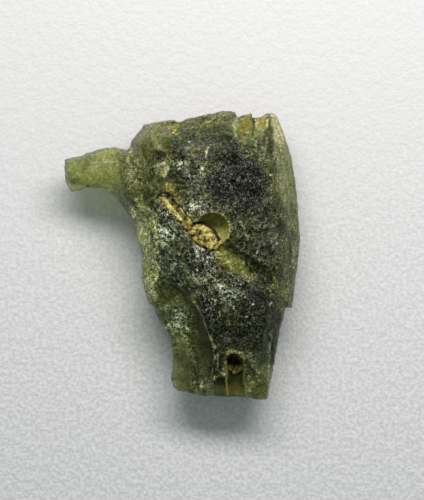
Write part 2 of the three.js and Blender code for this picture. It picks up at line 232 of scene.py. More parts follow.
def inside_ball(x, y, z, ball):
    ax, ay, az = ball["at"]
    return ball["radius"] - np.sqrt((x - ax) ** 2 + (y - ay) ** 2 + (z - az) ** 2)


def oval_radius(x, y, at, half, angle):
    """0 at the middle of an oval in plan and 1 at its edge. The angle is in radians."""
    dx, dy = x - at[0], y - at[1]
    along = (dx * math.cos(angle) + dy * math.sin(angle)) / half[0]
    across = (dy * math.cos(angle) - dx * math.sin(angle)) / half[1]
    return np.hypot(along, across)


def pit_radius(x, y):
    """0 at the middle of the clay's oval pit, 1 at its wall."""
    return oval_radius(x, y, CLAY_PIT["at"], CLAY_PIT["half"], CLAY_PIT["turn"])


# ---- the stone as a field

def dent_depth(x, y):
    """How deep the shallow dents of etching are at a place in plan."""
    deepest = np.zeros(x.shape)
    for i in range(DENTS["count"]):
        dent_x = DENTS["middle"][0] + DENTS["spread"][0] * scatter(i, 1, 0)
        dent_y = DENTS["middle"][1] + DENTS["spread"][1] * scatter(i, 2, 0)
        radius = DENTS["radius"] * (1 + 0.4 * scatter(i, 3, 0))
        deepest = np.maximum(deepest, DENTS["depth"] * (1 - np.hypot(x - dent_x, y - dent_y) / radius))
    return deepest


def bowl(x, y, middle, fall):
    return fall[0] * (x - middle[0]) ** 2 + fall[1] * (y - middle[1]) ** 2


def past_flank_crest(x, y):
    """How far right of the right flank's bent crest a place is."""
    return x - FLANK["crest"][0] + FLANK["bend"] * (y - FLANK["crest"][1]) ** 2


def upper_side(x, y, depth, at_spout, at_foot):
    crown = CROWN["height"] - bowl(x, y, CROWN["at"], CROWN["fall"])
    left_side = LEFT_SIDE["height"] + LEFT_SIDE["slope"] * np.maximum(x - LEFT_SIDE["x"], 0)
    bevel = RIM["high"] + lerp(BEVEL["above"], FOOT_END["bevel"], at_foot) * depth
    flank = FLANK["height"] - FLANK["slope"] * past_flank_crest(x, y)
    at_flat = smoothstep(-y, FOOT_FLAT["from"], FOOT_FLAT["to"])
    flat = lerp(ABOVE, FOOT_FLAT["height"] + FOOT_FLAT["slope"] * (x - FOOT_FLAT["x"]), at_flat)
    middle = soft_min(crown, left_side, FACE_BLEND)
    broad = soft_min(soft_min(middle, bevel, FACE_BLEND), flank, 0.3 * FACE_BLEND)
    spout = lerp(ABOVE, SPOUT["high"], at_spout)
    return soft_min(soft_min(broad, flat, FACE_BLEND / 2), spout, FACE_BLEND)


def underside(x, y, depth, rim_low):
    keel = soft_min(KEEL["height"] + bowl(x, y, KEEL["at"], KEEL["rise"]), SPOUT["low"], FACE_BLEND)
    return -soft_min(-keel, BEVEL["below"] * depth - rim_low, FACE_BLEND)


def glass_field(x, y, z):
    """The field on a grid: x and y are planes of the grid's columns, and z is its heights."""
    flat = np.zeros(1)
    rim = to_outline(x, y, OUTLINE) + sum(height * noise(x, y, flat, size) for height, size in WAVES)
    depth = np.maximum(-rim, 0)
    at_foot = smoothstep(-y, FOOT_END["from"], FOOT_END["to"])
    at_spout = smoothstep(-x, SPOUT["from"], SPOUT["to"])
    rim_low = lerp(RIM["low"], FOOT_END["rim_low"], at_foot)
    top = upper_side(x, y, depth, at_spout, at_foot) - dent_depth(x, y)
    bottom = underside(x, y, depth, rim_low)
    wall = rim + WALL_BULGE * (z - (RIM["high"] + rim_low) / 2) ** 2
    uneven = sum(height * noise(x, y, z, size) for height, size in LUMPS)
    faces = round_max(z - top, bottom - z, FACE_ROUND) + uneven
    body = round_max(wall, faces, lerp(RIM["round"], SPOUT["round"], at_spout))
    body = np.maximum(body, -z)
    edge = noise(x, y, z, 0.8)
    for route in GOUGES:
        body = np.maximum(body, inside_route(x, y, z, route) + EDGE_NOISE["gouge"] * edge)
    for route in CHANNELS + SCALLOPS:
        body = np.maximum(body, inside_route(x, y, z, route) + EDGE_NOISE["channel"] * edge)
    body = np.maximum(body, inside_ball(x, y, z, BUBBLE))
    edge_in_plan = noise(x, y, flat, 0.5)
    pit = (1 - pit_radius(x, y)) * CLAY_PIT["half"][1] + EDGE_NOISE["pit"] * edge_in_plan
    body = np.maximum(body, np.minimum(pit, z - CLAY_PIT["floor"]))
    body = np.maximum(body, inside_ball(x, y, z, DEEP_BUBBLE) + EDGE_NOISE["deep bubble"] * edge)
    mouth = to_outline(x, y, CRACK_MOUTH) + EDGE_NOISE["crack"] * edge_in_plan
    crack = np.maximum(mouth, CRACK["floor"] + CRACK["rise"] * x - z)
    return np.maximum(body, -crack)


# ---- surface net

CORNERS = np.array([(c & 1, c >> 1 & 1, c >> 2) for c in range(8)])
EDGES = [(c, c | bit) for c in range(8) for bit in (1, 2, 4) if not c & bit]
BARELY_INSIDE = -1e-3


def shifted(values, offset):
    """The values as seen from each cell's corner at an offset of 0 or 1 along each axis."""
    return values[tuple(slice(o, n - 1 + o) for o, n in zip(offset, values.shape))]


def close_saddles(values):
    """Puts the least outside corner of each checkerboard face just inside, so that the net is one skin."""
    for axis_a, axis_b in ((0, 1), (1, 2), (0, 2)):
        def part(da, db):
            index = [slice(None)] * 3
            index[axis_a] = slice(da, values.shape[axis_a] - 1 + da)
            index[axis_b] = slice(db, values.shape[axis_b] - 1 + db)
            return values[tuple(index)]
        a, b, c, d = part(0, 0), part(1, 0), part(1, 1), part(0, 1)
        for one, other, cross_one, cross_other in ((a, c, b, d), (b, d, a, c)):
            saddle = (one < 0) & (other < 0) & (cross_one >= 0) & (cross_other >= 0)
            pick = saddle & (cross_one <= cross_other)
            cross_one[pick] = BARELY_INSIDE
            cross_other[saddle & ~pick] = BARELY_INSIDE


def surface_net(field, low, high, cell):
    """Points and quads of a field's zero level, with one point in each cell that the surface crosses."""
    axes = [np.arange(a, b, step) for a, b, step in zip(low, high, cell)]
    x, y, z = np.meshgrid(*axes, indexing="ij", sparse=True)
    plan_x, plan_y = np.broadcast_arrays(x, y)
    values = field(plan_x, plan_y, z)
    for _ in range(3):
        close_saddles(values)
    inside = values < 0
    count = sum(shifted(inside, corner).astype(np.int8) for corner in CORNERS)
    cells = np.argwhere((count > 0) & (count < 8))
    at = np.stack([shifted(values, corner)[tuple(cells.T)] for corner in CORNERS], 1)
    total = np.zeros((len(cells), 3))
    crossings = np.zeros((len(cells), 1))
    for a, b in EDGES:
        crossed = (at[:, a] < 0) != (at[:, b] < 0)
        share = at[crossed, a] / (at[crossed, a] - at[crossed, b])
        total[crossed] += CORNERS[a] + (CORNERS[b] - CORNERS[a]) * share[:, None]
        crossings[crossed] += 1
    points = np.asarray(low) + (cells + total / crossings) * cell
    number = np.full(count.shape, -1, np.int32)
    number[tuple(cells.T)] = np.arange(len(cells))

    quads = []
    whole = np.eye(3, dtype=int)
    for axis in range(3):
        step_u, step_v = np.roll(whole, axis, 1)[[1, 2]]
        ahead = tuple(slice(s, None) for s in whole[axis])
        behind = tuple(slice(None, -1 if s else None) for s in whole[axis])
        nodes = np.argwhere(inside[behind] != inside[ahead])
        corners = ((0, 0), (1, 0), (1, 1), (0, 1))
        ring = [number[tuple((nodes - s * step_u - t * step_v).T)] for s, t in corners]
        quad = np.stack(ring, 1)
        outwards = inside[tuple(nodes.T)]
        quads.append(np.where(outwards[:, None], quad, quad[:, ::-1]))
    return points, np.concatenate(quads)


def point_normals(points, quads):
    a, b, c, d = (points[quads[:, n]] for n in range(4))
    faces = np.cross(c - a, d - b)
    normals = np.zeros_like(points)
    for n in range(4):
        np.add.at(normals, quads[:, n], faces)
    return normals / np.maximum(np.linalg.norm(normals, axis=1, keepdims=True), 1e-12)


# ---- places in the photograph

PIXEL = 0.104
PIXEL_ORIGIN = (181.5, 255.3)


def place(pixel):
    """A place in the drawn frame, in millimetres, from a pixel of the photograph."""
    return ((pixel[0] - PIXEL_ORIGIN[0]) * PIXEL, (PIXEL_ORIGIN[1] - pixel[1]) * PIXEL)


def oval(x, y, at, size, soft=0.35):
    """1 inside an oval and 0 outside, with a soft edge. size has its half-lengths in pixels, and may have
    a turn in degrees."""
    half_x, half_y, turn = (*size, 0)[:3]
    radius = oval_radius(x, y, place(at), (half_x * PIXEL, half_y * PIXEL), math.radians(turn))
    return 1 - smoothstep(radius, 1 - soft, 1 + soft)


def strongest(x, y, rows, soft=0.35):
    """The largest of a table's ovals, each times its strength."""
    return np.maximum.reduce([strength * oval(x, y, at, size, soft) for at, size, strength in rows])


def stroke(x, y, pixels, half, soft=0.5):
    """1 on a bent line through pixels and 0 off it. half is half the line's width in pixels."""
    points = [place(pixel) for pixel in pixels]
    off = np.minimum.reduce([off_segment(x, y, a, b) for a, b in zip(points, points[1:])])
    return 1 - smoothstep(off / (half * PIXEL), 1 - soft, 1 + soft)


def srgb(red, green, blue):
    """Linear colour from the values of a picture, 0 to 255."""
    colour = np.array([red, green, blue]) / 255
    return np.where(colour <= 0.04045, colour / 12.92, ((colour + 0.055) / 1.055) ** 2.4)


def look(red, green, blue, clear=0.3):
    """A colour, and the share of the light that goes on into the glass."""
    return srgb(red, green, blue), clear


# ---- fine relief

# Raised lines and grooves: pixels of the line, half its width in pixels, and its height in millimetres.
RELIEF_LINES = [
    ([(130, 143), (131.5, 152), (128, 162)], 1.2, 0.16),
    ([(164, 282), (172, 282), (178, 284), (184.5, 290), (188, 300)], 2, 0.15),
    ([(191, 297), (197, 305), (203, 312), (208, 330), (213, 350), (214, 372)], 1.3, 0.12),
    ([(181, 303), (187, 313), (193, 326)], 1.1, 0.1),
    ([(247.4, 355.7), (251, 364), (255, 368), (258, 371.7)], 1.2, 0.14),
    ([(199, 346), (199.5, 370), (200, 388)], 1.2, 0.08),
    ([(164, 192), (173, 203), (183, 215), (192, 227)], 1.3, 0.12),
    ([(276, 122), (279, 136), (280, 148)], 1.2, 0.08), ([(270, 160), (271, 175), (274, 188)], 1.4, 0.05),
    ([(140, 128), (150, 124), (162, 123), (174, 122)], 1, 0.1),
    ([(166, 195), (175, 206), (186, 219), (194, 229)], 1, -0.2),
    ([(266, 118), (268.5, 140), (270, 158)], 1.6, -0.12), ([(253, 113), (253, 131.8)], 0.9, -0.15),
    ([(196, 300), (205, 322), (209, 345), (211, 365)], 1.5, -0.12),
]
# Flat facets: an oval in the photograph and its strength.
FLAT_FACETS = [
    ((154, 140), (20, 17), 1), ((184, 369), (9, 24), 1), ((203, 350), (7, 30, 5), 1),
    ((181, 291), (14, 6, -40), 1), ((264, 360), (8, 34, 8), 1),
]
# Etching as height, size and seed.
ETCHING = [(0.1, 1.2, 3), (0.055, 0.48, 4), (0.04, 0.26, 5)]


def ridged(value):
    """Noise folded to thin raised lines, from -1 to 1."""
    return 1 - 2 * np.abs(value)


def pits(x, y, z, size):
    """Round pits of etching: 1 at the middle of each pit, and less towards its edge."""
    i, j, k = (np.floor(t / size) for t in (x, y, z))
    nearest = np.full(x.shape, np.inf)
    for step in np.ndindex(3, 3, 3):
        a, b, c = i + step[0] - 1, j + step[1] - 1, k + step[2] - 1
        px = (a + 0.5 + 0.42 * scatter(a, b, c)) * size
        py = (b + 0.5 + 0.42 * scatter(b, c, a)) * size
        pz = (c + 0.5 + 0.42 * scatter(c, a, b)) * size
        nearest = np.minimum(nearest, (x - px) ** 2 + (y - py) ** 2 + (z - pz) ** 2)
    return 1 - np.clip(np.sqrt(nearest) / (0.75 * size), 0, 1)


def shaken(x, y, fine, amount, size, seed):
    """Places in plan, each moved a little by noise."""
    return x + amount * fine(size, seed), y + amount * fine(size, seed + 1)


def make_surface(x, y, z, normal):
    """The masks and helpers that relief and colour both use, for each point of the glass."""
    fine = partial(grain, x, y, z)
    up = smoothstep(normal[:, 2], -0.4, 0.05)
    warp_x = x + 0.3 * noise(x, y, z, 1.3) + 0.14 * noise(x, y, z, 0.45)
    warp_y = y + 0.3 * noise(y, z, x, 1.3) + 0.14 * noise(y, z, x, 0.45)
    to_bubble = inside_ball(x, y, z, BUBBLE)
    to_hole = inside_ball(x, y, z, DEEP_BUBBLE) + 0.15 * fine(0.5, 40)
    to_channel = np.maximum.reduce([inside_route(x, y, z, route) for route in CHANNELS])
    to_scallop = np.maximum.reduce([inside_route(x, y, z, route) for route in SCALLOPS])
    bubble = smoothstep(to_bubble, -0.16, -0.06)
    channel = smoothstep(to_channel, -0.2, -0.1)
    scallop = smoothstep(to_scallop, -0.2, -0.1)
    in_mouth = smoothstep(-to_outline(x, y, CRACK_MOUTH), -0.14, 0.0)
    in_pit = smoothstep(-pit_radius(x, y), -1.1, -1.0)
    from_crest = past_flank_crest(x, y)
    return SimpleNamespace(
        x=x, y=y, z=z, up=up,
        grain=fine,
        oval=partial(oval, warp_x, warp_y),
        strongest=partial(strongest, warp_x, warp_y),
        near=shaken(x, y, fine, 0.07, 0.5, 20),
        warped=(warp_x, warp_y),
        depth=-to_outline(x, y, OUTLINE),
        bubble=bubble,
        channel=channel,
        scallop=scallop,
        crack=np.maximum(in_mouth, in_pit) * (1 - bubble),
        hole=smoothstep(to_hole, -0.25, -0.05),
        lip=up * smoothstep(to_channel + 0.1 * fine(0.6, 41), -0.42, -0.28) * (1 - channel),
        scallop_lip=up * smoothstep(to_scallop, -0.4, -0.25) * (1 - scallop),
        rim=up * smoothstep(to_bubble, -0.26, -0.14) * smoothstep(-to_bubble, -0.02, 0.04),
        band=smoothstep(from_crest, -0.9, 0.2),
        spout=smoothstep(-x, 5.0, 6.6),
        facet=up * strongest(warp_x, warp_y, FLAT_FACETS),
        # lines of etching that stand proud and catch the light
        crest=np.maximum(ridged(fine(0.6, 1)), ridged(fine(0.38, 2)) - 0.2),
        flow=noise(from_crest + 0.15 * noise(x, y, z, 1.1), y, z, (0.2, 2.4, 0.7)),
    )


def glass_relief(at):
    """How far fine etching moves each point outwards, in millimetres."""
    hollow = np.maximum.reduce([at.bubble, at.channel, at.crack, at.scallop])
    coarse = 1 - np.maximum.reduce([0.8 * at.facet, 0.5 * at.spout, 0.55 * at.band])
    coarse = coarse * (1 - 0.9 * hollow) * lerp(0.6, 1, at.up)
    etched = sum(height * at.grain(size, seed) for height, size, seed in ETCHING)
    relief = coarse * (etched + 0.015 * at.crest - 0.06 * pits(at.x, at.y, at.z, 0.38))
    relief += at.band * at.up * (1 - hollow) * (0.05 * at.flow + 0.02 * at.grain(0.3, 6))
    relief += 0.015 * at.grain(0.35, 7) + 0.1 * at.lip + 0.07 * at.rim
    for pixels, half, height in RELIEF_LINES:
        relief += height * at.up * (1 - hollow) * stroke(*at.near, pixels, half, 0.8)
    return relief - 0.03


# ---- colour

CHARCOAL = look(22, 25, 18, 0.04)
MOSS = look(76, 90, 62, 0.25)
TEAL = look(112, 128, 96, 0.2)
SAGE = look(126, 138, 102)
EDGE_GREEN = look(116, 126, 76, 0.15)
FLANK_GLOW = look(202, 214, 150, 0.35)
PALE_OLIVE = look(132, 136, 80, 0.4)
GLOW = look(172, 174, 88, 0.4)
GLINT = look(222, 226, 204, 0)
STRAW = look(196, 192, 134, 0.2)
DARK_OLIVE = look(62, 66, 30)
OLIVE = look(118, 124, 66, 0.6)
LIGHT = look(202, 208, 138, 0.7)
DEEP_GREEN = look(58, 68, 34, 0.35)
NIGHT = look(22, 28, 12, 0.15)
YELLOW = look(165, 160, 75, 0.4)
AMBER = look(192, 176, 80, 0.45)
TAN = look(205, 190, 130, 0.1)
BROWN = look(60, 42, 18, 0.2)
UMBER = look(98, 94, 56)
BLACK = look(26, 24, 14, 0.1)
PALE = look(215, 212, 160, 0.25)
RUST = look(150, 124, 46)
# Dark spots are greener and yellower than bright ones, because blue varies most in the dark.
RED_CONTRAST = 1.05
BLUE_CONTRAST = {"bright": 1.12, "dark": 1.6}
BRIGHTEST = 0.6

# Each zone: an oval in the photograph, its strength and its colour. Later ones lie over earlier ones.
ZONES = [
    # the upper middle and the dark centre
    ((208, 146), (30, 18), 0.9, look(50, 61, 26, 0.35)), ((200, 168), (6, 14), 0.35, OLIVE),
    ((203, 128), (30, 9, -8), 0.5, look(108, 115, 50, 0.5)), ((236, 184), (31, 33), 1, CHARCOAL),
    ((185, 170), (13, 22, 15), 0.9, NIGHT), ((206, 192), (15, 22), 0.7, CHARCOAL),
    ((252, 238), (28, 44), 0.8, NIGHT), ((203, 258), (17, 18), 0.9, CHARCOAL),
    # left of the crack
    ((168, 230), (18, 26), 0.8, MOSS), ((172, 265), (18, 18), 0.6, MOSS),
    ((186, 240), (8, 14), 0.6, CHARCOAL), ((167, 234), (9, 9), 0.7, SAGE), ((163, 266), (11, 9), 0.6, SAGE),
    ((155, 207), (5, 7), 0.7, NIGHT), ((167, 215), (5, 5), 0.7, CHARCOAL),
    # the lower centre, the right side and a patch near the top
    ((232, 305), (30, 36), 0.85, CHARCOAL), ((208, 318), (13, 34, 10), 0.85, NIGHT),
    ((262, 322), (19, 44, 8), 0.9, NIGHT), ((232, 338), (30, 14), 0.8, NIGHT),
    ((260, 200), (12, 24, 10), 0.7, BLACK), ((276, 235), (8, 44), 0.5, DEEP_GREEN),
    ((210, 362), (15, 30, 5), 0.6, DEEP_GREEN), ((221, 134), (10, 9), 0.6, DEEP_GREEN),
    # the scoop, with painted shade under its crest first, and the foot's left side
    ((180, 287), (15, 6, -35), 0.8, NIGHT), ((176, 318), (15, 15, -50), 0.75, TEAL),
    ((163, 308), (7, 20, 30), 0.5, DEEP_GREEN), ((166, 292), (12, 7, -30), 0.6, DEEP_GREEN),
    ((188, 368), (12, 26), 0.5, DEEP_GREEN),
    # the trough below the bubble
    ((228, 258), (16, 7.5, -38), 0.9, GLOW), ((243, 270), (11, 6, -42), 0.3, GLOW),
    # above the crack
    ((163, 168), (8, 10), 0.5, PALE_OLIVE), ((187, 168), (3.5, 9, -10), 0.4, PALE_OLIVE),
    ((174, 193), (13, 6, -45), 0.45, YELLOW),
    # the right band, pale at its top
    ((283, 158), (9, 50, 6), 0.85, LIGHT), ((286, 245), (10, 60), 0.4, DEEP_GREEN),
    ((260, 139), (6, 7), 0.7, MOSS), ((277, 130), (6, 19, 10), 1, look(226, 222, 176, 0.08)),
    # the foot, and a patch below the centre
    ((260, 388), (9, 9), 0.6, OLIVE), ((229, 293), (9, 11), 0.5, TEAL), ((258, 357), (6, 12), 0.5, MOSS),
    # the upper left block
    ((174, 144), (4.5, 8, 10), 0.8, NIGHT), ((162, 157), (7, 3.5, -15), 0.7, NIGHT),
    ((170, 178), (5, 5.5), 0.8, NIGHT), ((183, 157), (4, 3), 0.7, NIGHT),
    ((193, 151), (8, 8), 0.5, PALE_OLIVE), ((164.5, 172.5), (4.2, 7, 10), 0.9, look(206, 202, 146, 0.2)),
    ((203, 176), (3.5, 11), 0.5, SAGE),
    # painted shade in pits of the right side, and the foot
    ((265, 280), (5, 4), 0.9, BLACK), ((258, 306), (3, 2.2), 0.8, BLACK),
    ((273, 297), (4, 6, 20), 0.6, SAGE), ((220, 377), (6, 5), 0.8, NIGHT), ((182, 362), (8, 20), 0.4, MOSS),
    ((272, 332), (9, 36, 8), 0.7, NIGHT),
    # the left flank and its blobs; the flank's green and its first pale patch are partly painted glow
    ((149, 255), (11, 38), 0.95, FLANK_GLOW), ((144, 238), (6, 12, 30), 0.9, look(226, 224, 166, 0.1)),
    ((152, 255), (4, 7), 0.6, look(160, 170, 124)), ((164, 232), (3.5, 4), 0.8, look(176, 182, 150, 0.2)),
    ((167, 240), (4.5, 4, -30), 0.7, look(128, 142, 108)),
    ((146, 273), (3.5, 8, 5), 0.5, look(206, 208, 132)),
    # the spout's root, and amber and pale spots
    ((130, 172), (16, 18), 0.6, LIGHT), ((155, 138), (14, 14), 0.5, LIGHT),
    ((176.5, 130), (3.6, 4.4), 0.85, AMBER), ((168.6, 188), (4, 3.5), 0.6, AMBER),
    # Two pale flank spots, partly painted glow of light through the shaded wall.
    ((132.8, 212.6), (3.2, 4.6, 35), 1, look(236, 236, 168, 0.1)),
    ((142.5, 236.5), (4.2, 4.4), 1, look(240, 230, 150, 0.05)), ((146, 271), (3, 6), 0.5, YELLOW),
    ((193.5, 298), (2.2, 5, 35), 0.8, PALE),
    # the spout
    ((76, 181), (4.5, 3), 0.8, DEEP_GREEN), ((84, 168), (12, 7, 10), 0.35, OLIVE),
    ((108, 155), (9, 5), 0.75, YELLOW), ((92, 186), (18, 2.5, -5), 0.5, DEEP_GREEN),
    ((99, 182), (5, 3), 0.6, AMBER), ((88.5, 187.5), (1.6, 1.6), 0.9, BROWN),
    # The first here is painted shade on the facet at the spout's root.
    ((122, 160), (7, 9, 20), 0.7, UMBER), ((133, 164.7), (1.7, 1.7), 0.8, BROWN),
]
# Each line: pixels of the line, half its width, its strength and its colour.
LINES = [
    # the spout: a painted highlight on the step at its root, painted shade along the facet beside it and on
    # its end, and a painted highlight along its top edge
    ([(131, 146), (130.5, 154), (128.5, 162)], 1.3, 1, PALE),
    ([(127, 143), (119, 152), (114, 164)], 1.3, 0.5, BROWN),
    ([(65, 160), (64.5, 172), (67, 184), (71, 190)], 1.1, 0.6, NIGHT),
    ([(68, 158), (80, 154.5), (90, 150), (100, 147.5), (112, 147.5)], 1, 0.5, PALE),
    # the blunt end
    ([(236, 117.5), (234, 126), (233.5, 139)], 1, 0.5, PALE),
    ([(144, 125), (158, 123), (174, 122)], 0.8, 0.7, PALE),
    # the crack's margins
    ([(159, 200), (166, 210), (174, 218), (180, 225)], 1, 0.6, TAN),
    ([(174, 197), (181, 204.5), (187, 211), (191.5, 217)], 2, 0.8, YELLOW),
    ([(175.5, 201), (181, 207.5), (188.5, 215.5), (192.5, 222), (197, 219)], 0.7, 1, STRAW),
    ([(159, 197), (163, 194), (170, 194.5), (172.5, 197)], 1.3, 1.3, BROWN),
    # the right band, with a painted highlight along its left edge last
    ([(268.5, 122), (270, 140), (270.5, 160)], 1.8, 0.9, DEEP_GREEN),
    ([(276, 122), (279, 136), (280, 148)], 1, 0.8, PALE),
    ([(268, 162), (271, 175), (273, 184)], 1.6, 0.3, SAGE),
    # the scoop's band of painted shade under its crest, a painted highlight on the crest and painted shade
    # beside it
    ([(167, 284), (184, 291), (195, 305), (202, 322), (203, 345)], 4.5, 0.9, DARK_OLIVE),
    ([(194, 300), (203, 317), (206, 327), (210, 335), (215, 345)], 0.7, 0.9, STRAW),
    ([(199, 301), (207, 317), (210.5, 328), (214.5, 340)], 1.6, 0.9, NIGHT),
    # pale and dark branches of the upper side
    ([(156, 166), (163, 165.5), (169, 160)], 1.4, 1.2, PALE),
    ([(169, 160), (166, 154), (159, 148)], 0.9, 0.9, STRAW),
    ([(169, 160), (176, 165), (181, 161)], 0.9, 0.8, STRAW),
    ([(210, 147), (206, 153), (206, 160), (207, 165), (202, 168)], 0.8, 0.9, PALE),
    ([(175, 176), (178, 185), (179, 197)], 0.8, 1.2, BLACK),
    # left of the crack: painted shade in two grooves, and a painted highlight on a ridge
    ([(150, 228), (155, 243), (163, 250), (170, 255.5), (181, 259)], 1.9, 1.1, NIGHT),
    ([(150, 244), (156, 253), (166, 258)], 1.2, 0.5, SAGE), ([(148, 262), (152, 269)], 1.6, 0.9, NIGHT),
    # the splits above the small channel
    ([(216, 348), (215.8, 360), (215, 371)], 1.6, 2, BLACK),
    ([(211, 345), (211.5, 360), (209, 374)], 1.9, 1, NIGHT),
    ([(221, 354), (220, 363), (220, 370)], 2.6, 1.6, BLACK),
    ([(214.3, 352), (214.6, 358.6), (212.5, 365), (211.4, 374), (209.5, 386)], 0.6, 0.7, STRAW),
    ([(217.5, 352), (217.5, 361), (218.2, 367)], 0.6, 0.6, STRAW),
    ([(220.4, 370.7), (223.6, 371.4), (225.7, 373.6)], 0.7, 1.1, STRAW),
    # the foot's right corner, with painted shade along it first
    ([(251.4, 387), (258.6, 384.3), (265.7, 381.4)], 1, 0.9, NIGHT),
    ([(247, 355.7), (250, 360.7), (252, 363.6)], 0.9, 0.9, SAGE),
    ([(213.8, 390), (213.6, 378), (215, 373)], 0.6, 1, STRAW),
    # right of the bubble
    ([(240, 222), (244, 230), (247, 240)], 0.7, 0.4, PALE), ([(252, 222), (254, 231)], 0.7, 0.4, PALE),
    # the edges of the foot, the amber spot and the scoop
    ([(271, 330), (268.8, 352), (268.6, 365), (267, 378), (266.5, 384)], 1, 0.6, SAGE),
    ([(174.5, 380), (177, 387.5), (182, 389.5), (187, 391)], 0.9, 0.9, PALE),
    ([(173.5, 133), (176.5, 135.5), (180, 134)], 0.8, 0.9, PALE),
    ([(150, 298), (156, 307), (162.5, 320), (169.5, 333), (173, 345)], 3.5, 0.9, EDGE_GREEN),
]
# The same for the two scallops of the blunt end.
SCALLOP_MARKS = [
    ((246, 125.5), (6.5, 8.5), 1, look(176, 164, 70, 0.35)), ((244.5, 124.5), (3, 5), 0.7, RUST),
    ((243, 141), (7, 7.5), 0.9, look(84, 92, 42, 0.35)), ((241.5, 142), (2, 2.6), 0.6, RUST),
    ((259.5, 122.5), (5.2, 7.5), 1, look(188, 176, 82, 0.35)), ((259.5, 121.5), (2, 4), 0.6, RUST),
]
SCALLOP_LINES = [
    ([(236.5, 118), (235, 126), (235, 138)], 1, 0.4, PALE),
    ([(237, 118), (244, 115.5), (250, 114.5)], 1.1, 0.7, PALE), ([(247, 134), (250, 133)], 1.3, 0.9, PALE),
    ([(251.8, 113), (253.6, 118), (253.4, 126), (251.5, 136)], 1.1, 1.2, DARK_OLIVE),
    ([(255.3, 117), (255, 127), (258, 131)], 0.8, 0.8, PALE),
    ([(264.5, 115), (266, 120), (265.5, 127), (261.5, 131.5)], 1.1, 0.6, PALE),
]
# Painted shadow in the gap between the clay and the bubble's wall, and a painted highlight on the lit edge of
# that wall.
GAP_SHADOW = [(193, 225.5), (196, 223), (203, 223.3), (209.3, 226.6), (213.6, 230.1), (216, 234), (218.5, 240)]
BUBBLE_EDGE = [(206, 219), (214, 221), (221, 226), (224, 232)]
# The channel's crust of brown clay, with paler spots in its hole, which is black with painted shade, and the
# channel's two lips.
CRUST = {"at": (234.5, 362), "size": (7, 11)}
CRUST_EDGE = [(228, 369), (233.5, 373.5), (242, 370.5)]
HOLE = {"at": (233.8, 358.5), "size": (5.7, 7, 5)}
HOLE_SPOTS = [(234.5, 355), (235, 363.5), (238, 358), (231, 360)]
LEFT_LIP = [(233.6, 349), (228.6, 349), (225.8, 352), (226.2, 361), (226.8, 368), (226.4, 380), (227.3, 394)]
RIGHT_LIP = [
    (233.6, 349), (238, 351), (241.4, 354.5), (243.5, 361), (243.8, 368), (243.4, 376), (245, 388),
    (246.5, 393),
]
# Small painted glints, bright highlights: their pixels.
GLINTS = [
    (256, 252), (276, 243), (271, 302), (269.5, 303.5), (252, 303), (246, 315), (248, 280), (162, 227),
    (172, 226), (155, 237), (166, 207), (180, 170), (178, 167), (186, 391), (223.2, 367), (225.4, 371.4),
    (255.4, 368), (258.2, 371.4), (248.2, 373.2), (258.2, 378.6), (268.6, 365), (178, 330), (182, 326),
    (186, 323), (169, 324), (206, 308), (219, 311), (220, 313), (189, 288), (173, 262), (175, 264),
    (170, 267), (172, 269), (203, 250), (208, 257), (227, 286), (229, 289), (224, 297), (280.5, 151),
    (268, 170), (269, 176), (190, 143), (197, 251), (233, 306), (215, 303), (244, 296), (182, 218),
    (149, 209), (243, 262),
]
# The next five tables have an oval in the photograph and its strength. Larger painted glints, bright
# highlights:
GLINT_PATCHES = [
    ((174, 264.5), (2.6, 2, 30), 1), ((171.5, 268), (2.2, 1.4, -30), 1), ((180.5, 165), (1.9, 1.3, 30), 1),
    ((179, 170.5), (1.1, 1), 1), ((163, 229.5), (1.6, 1.2, 30), 1), ((167, 233), (1.4, 2.2, 20), 1),
    ((197, 207), (2.2, 1.4, -20), 1), ((203, 249), (2.2, 1.3, -30), 1), ((197.5, 246.5), (1.8, 1, -20), 1),
    ((220, 285.5), (1.6, 1.8), 1), ((187, 327), (1, 3, 30), 1), ((203, 169.5), (1.6, 1.4, 20), 1),
]
# Where white crumbs and frosted crests are thick.
FROST = [
    # around the bubble and the crack, with patches above and below
    ((198, 209), (14, 9, -20), 1), ((196, 188), (8, 20, 15), 0.4), ((168, 224), (19, 20), 0.5),
    ((170, 233), (9, 9), 0.9), ((167, 265), (16, 14), 0.4), ((172.5, 266), (4.5, 5), 1.3),
    ((171, 213), (9, 8, -30), 0.9), ((182, 281), (9, 5, -40), 0.8), ((180, 167), (6, 5), 0.6),
    # the middle
    ((203, 253), (13, 11), 0.8), ((206, 278), (18, 22, 10), 0.6), ((224, 288), (16, 16), 0.7),
    ((208, 308), (10, 26), 0.27),
    # the upper left
    ((185, 145), (22, 22), 0.12), ((165, 168), (8, 7), 0.5), ((202, 176), (5, 14), 0.3),
    # the scoop, broad thin frost, the foot and the spout
    ((178, 317), (12, 14, -20), 0.42), ((232, 182), (34, 34), 0.17), ((225, 250), (90, 150), 0.1),
    ((258, 240), (26, 60), 0.17), ((255, 320), (18, 44), 0.15), ((235, 264), (20, 10, -38), 0.2),
    ((205, 375), (10, 18), 0.25), ((201, 384), (8, 4), 0.4), ((108, 165), (12, 6), 0.3),
]
# Where the etching's light and dark are strongest.
SHARP = [
    ((234, 184), (30, 33), 1.1), ((262, 240), (24, 64), 0.45), ((172, 250), (22, 36), 0.45),
    ((235, 264), (24, 12, -38), 0.3), ((180, 205), (18, 20), 0.3), ((205, 146), (30, 18), 0.1),
    ((258, 340), (20, 44), 0.3), ((178, 312), (18, 20), 0.1),
]
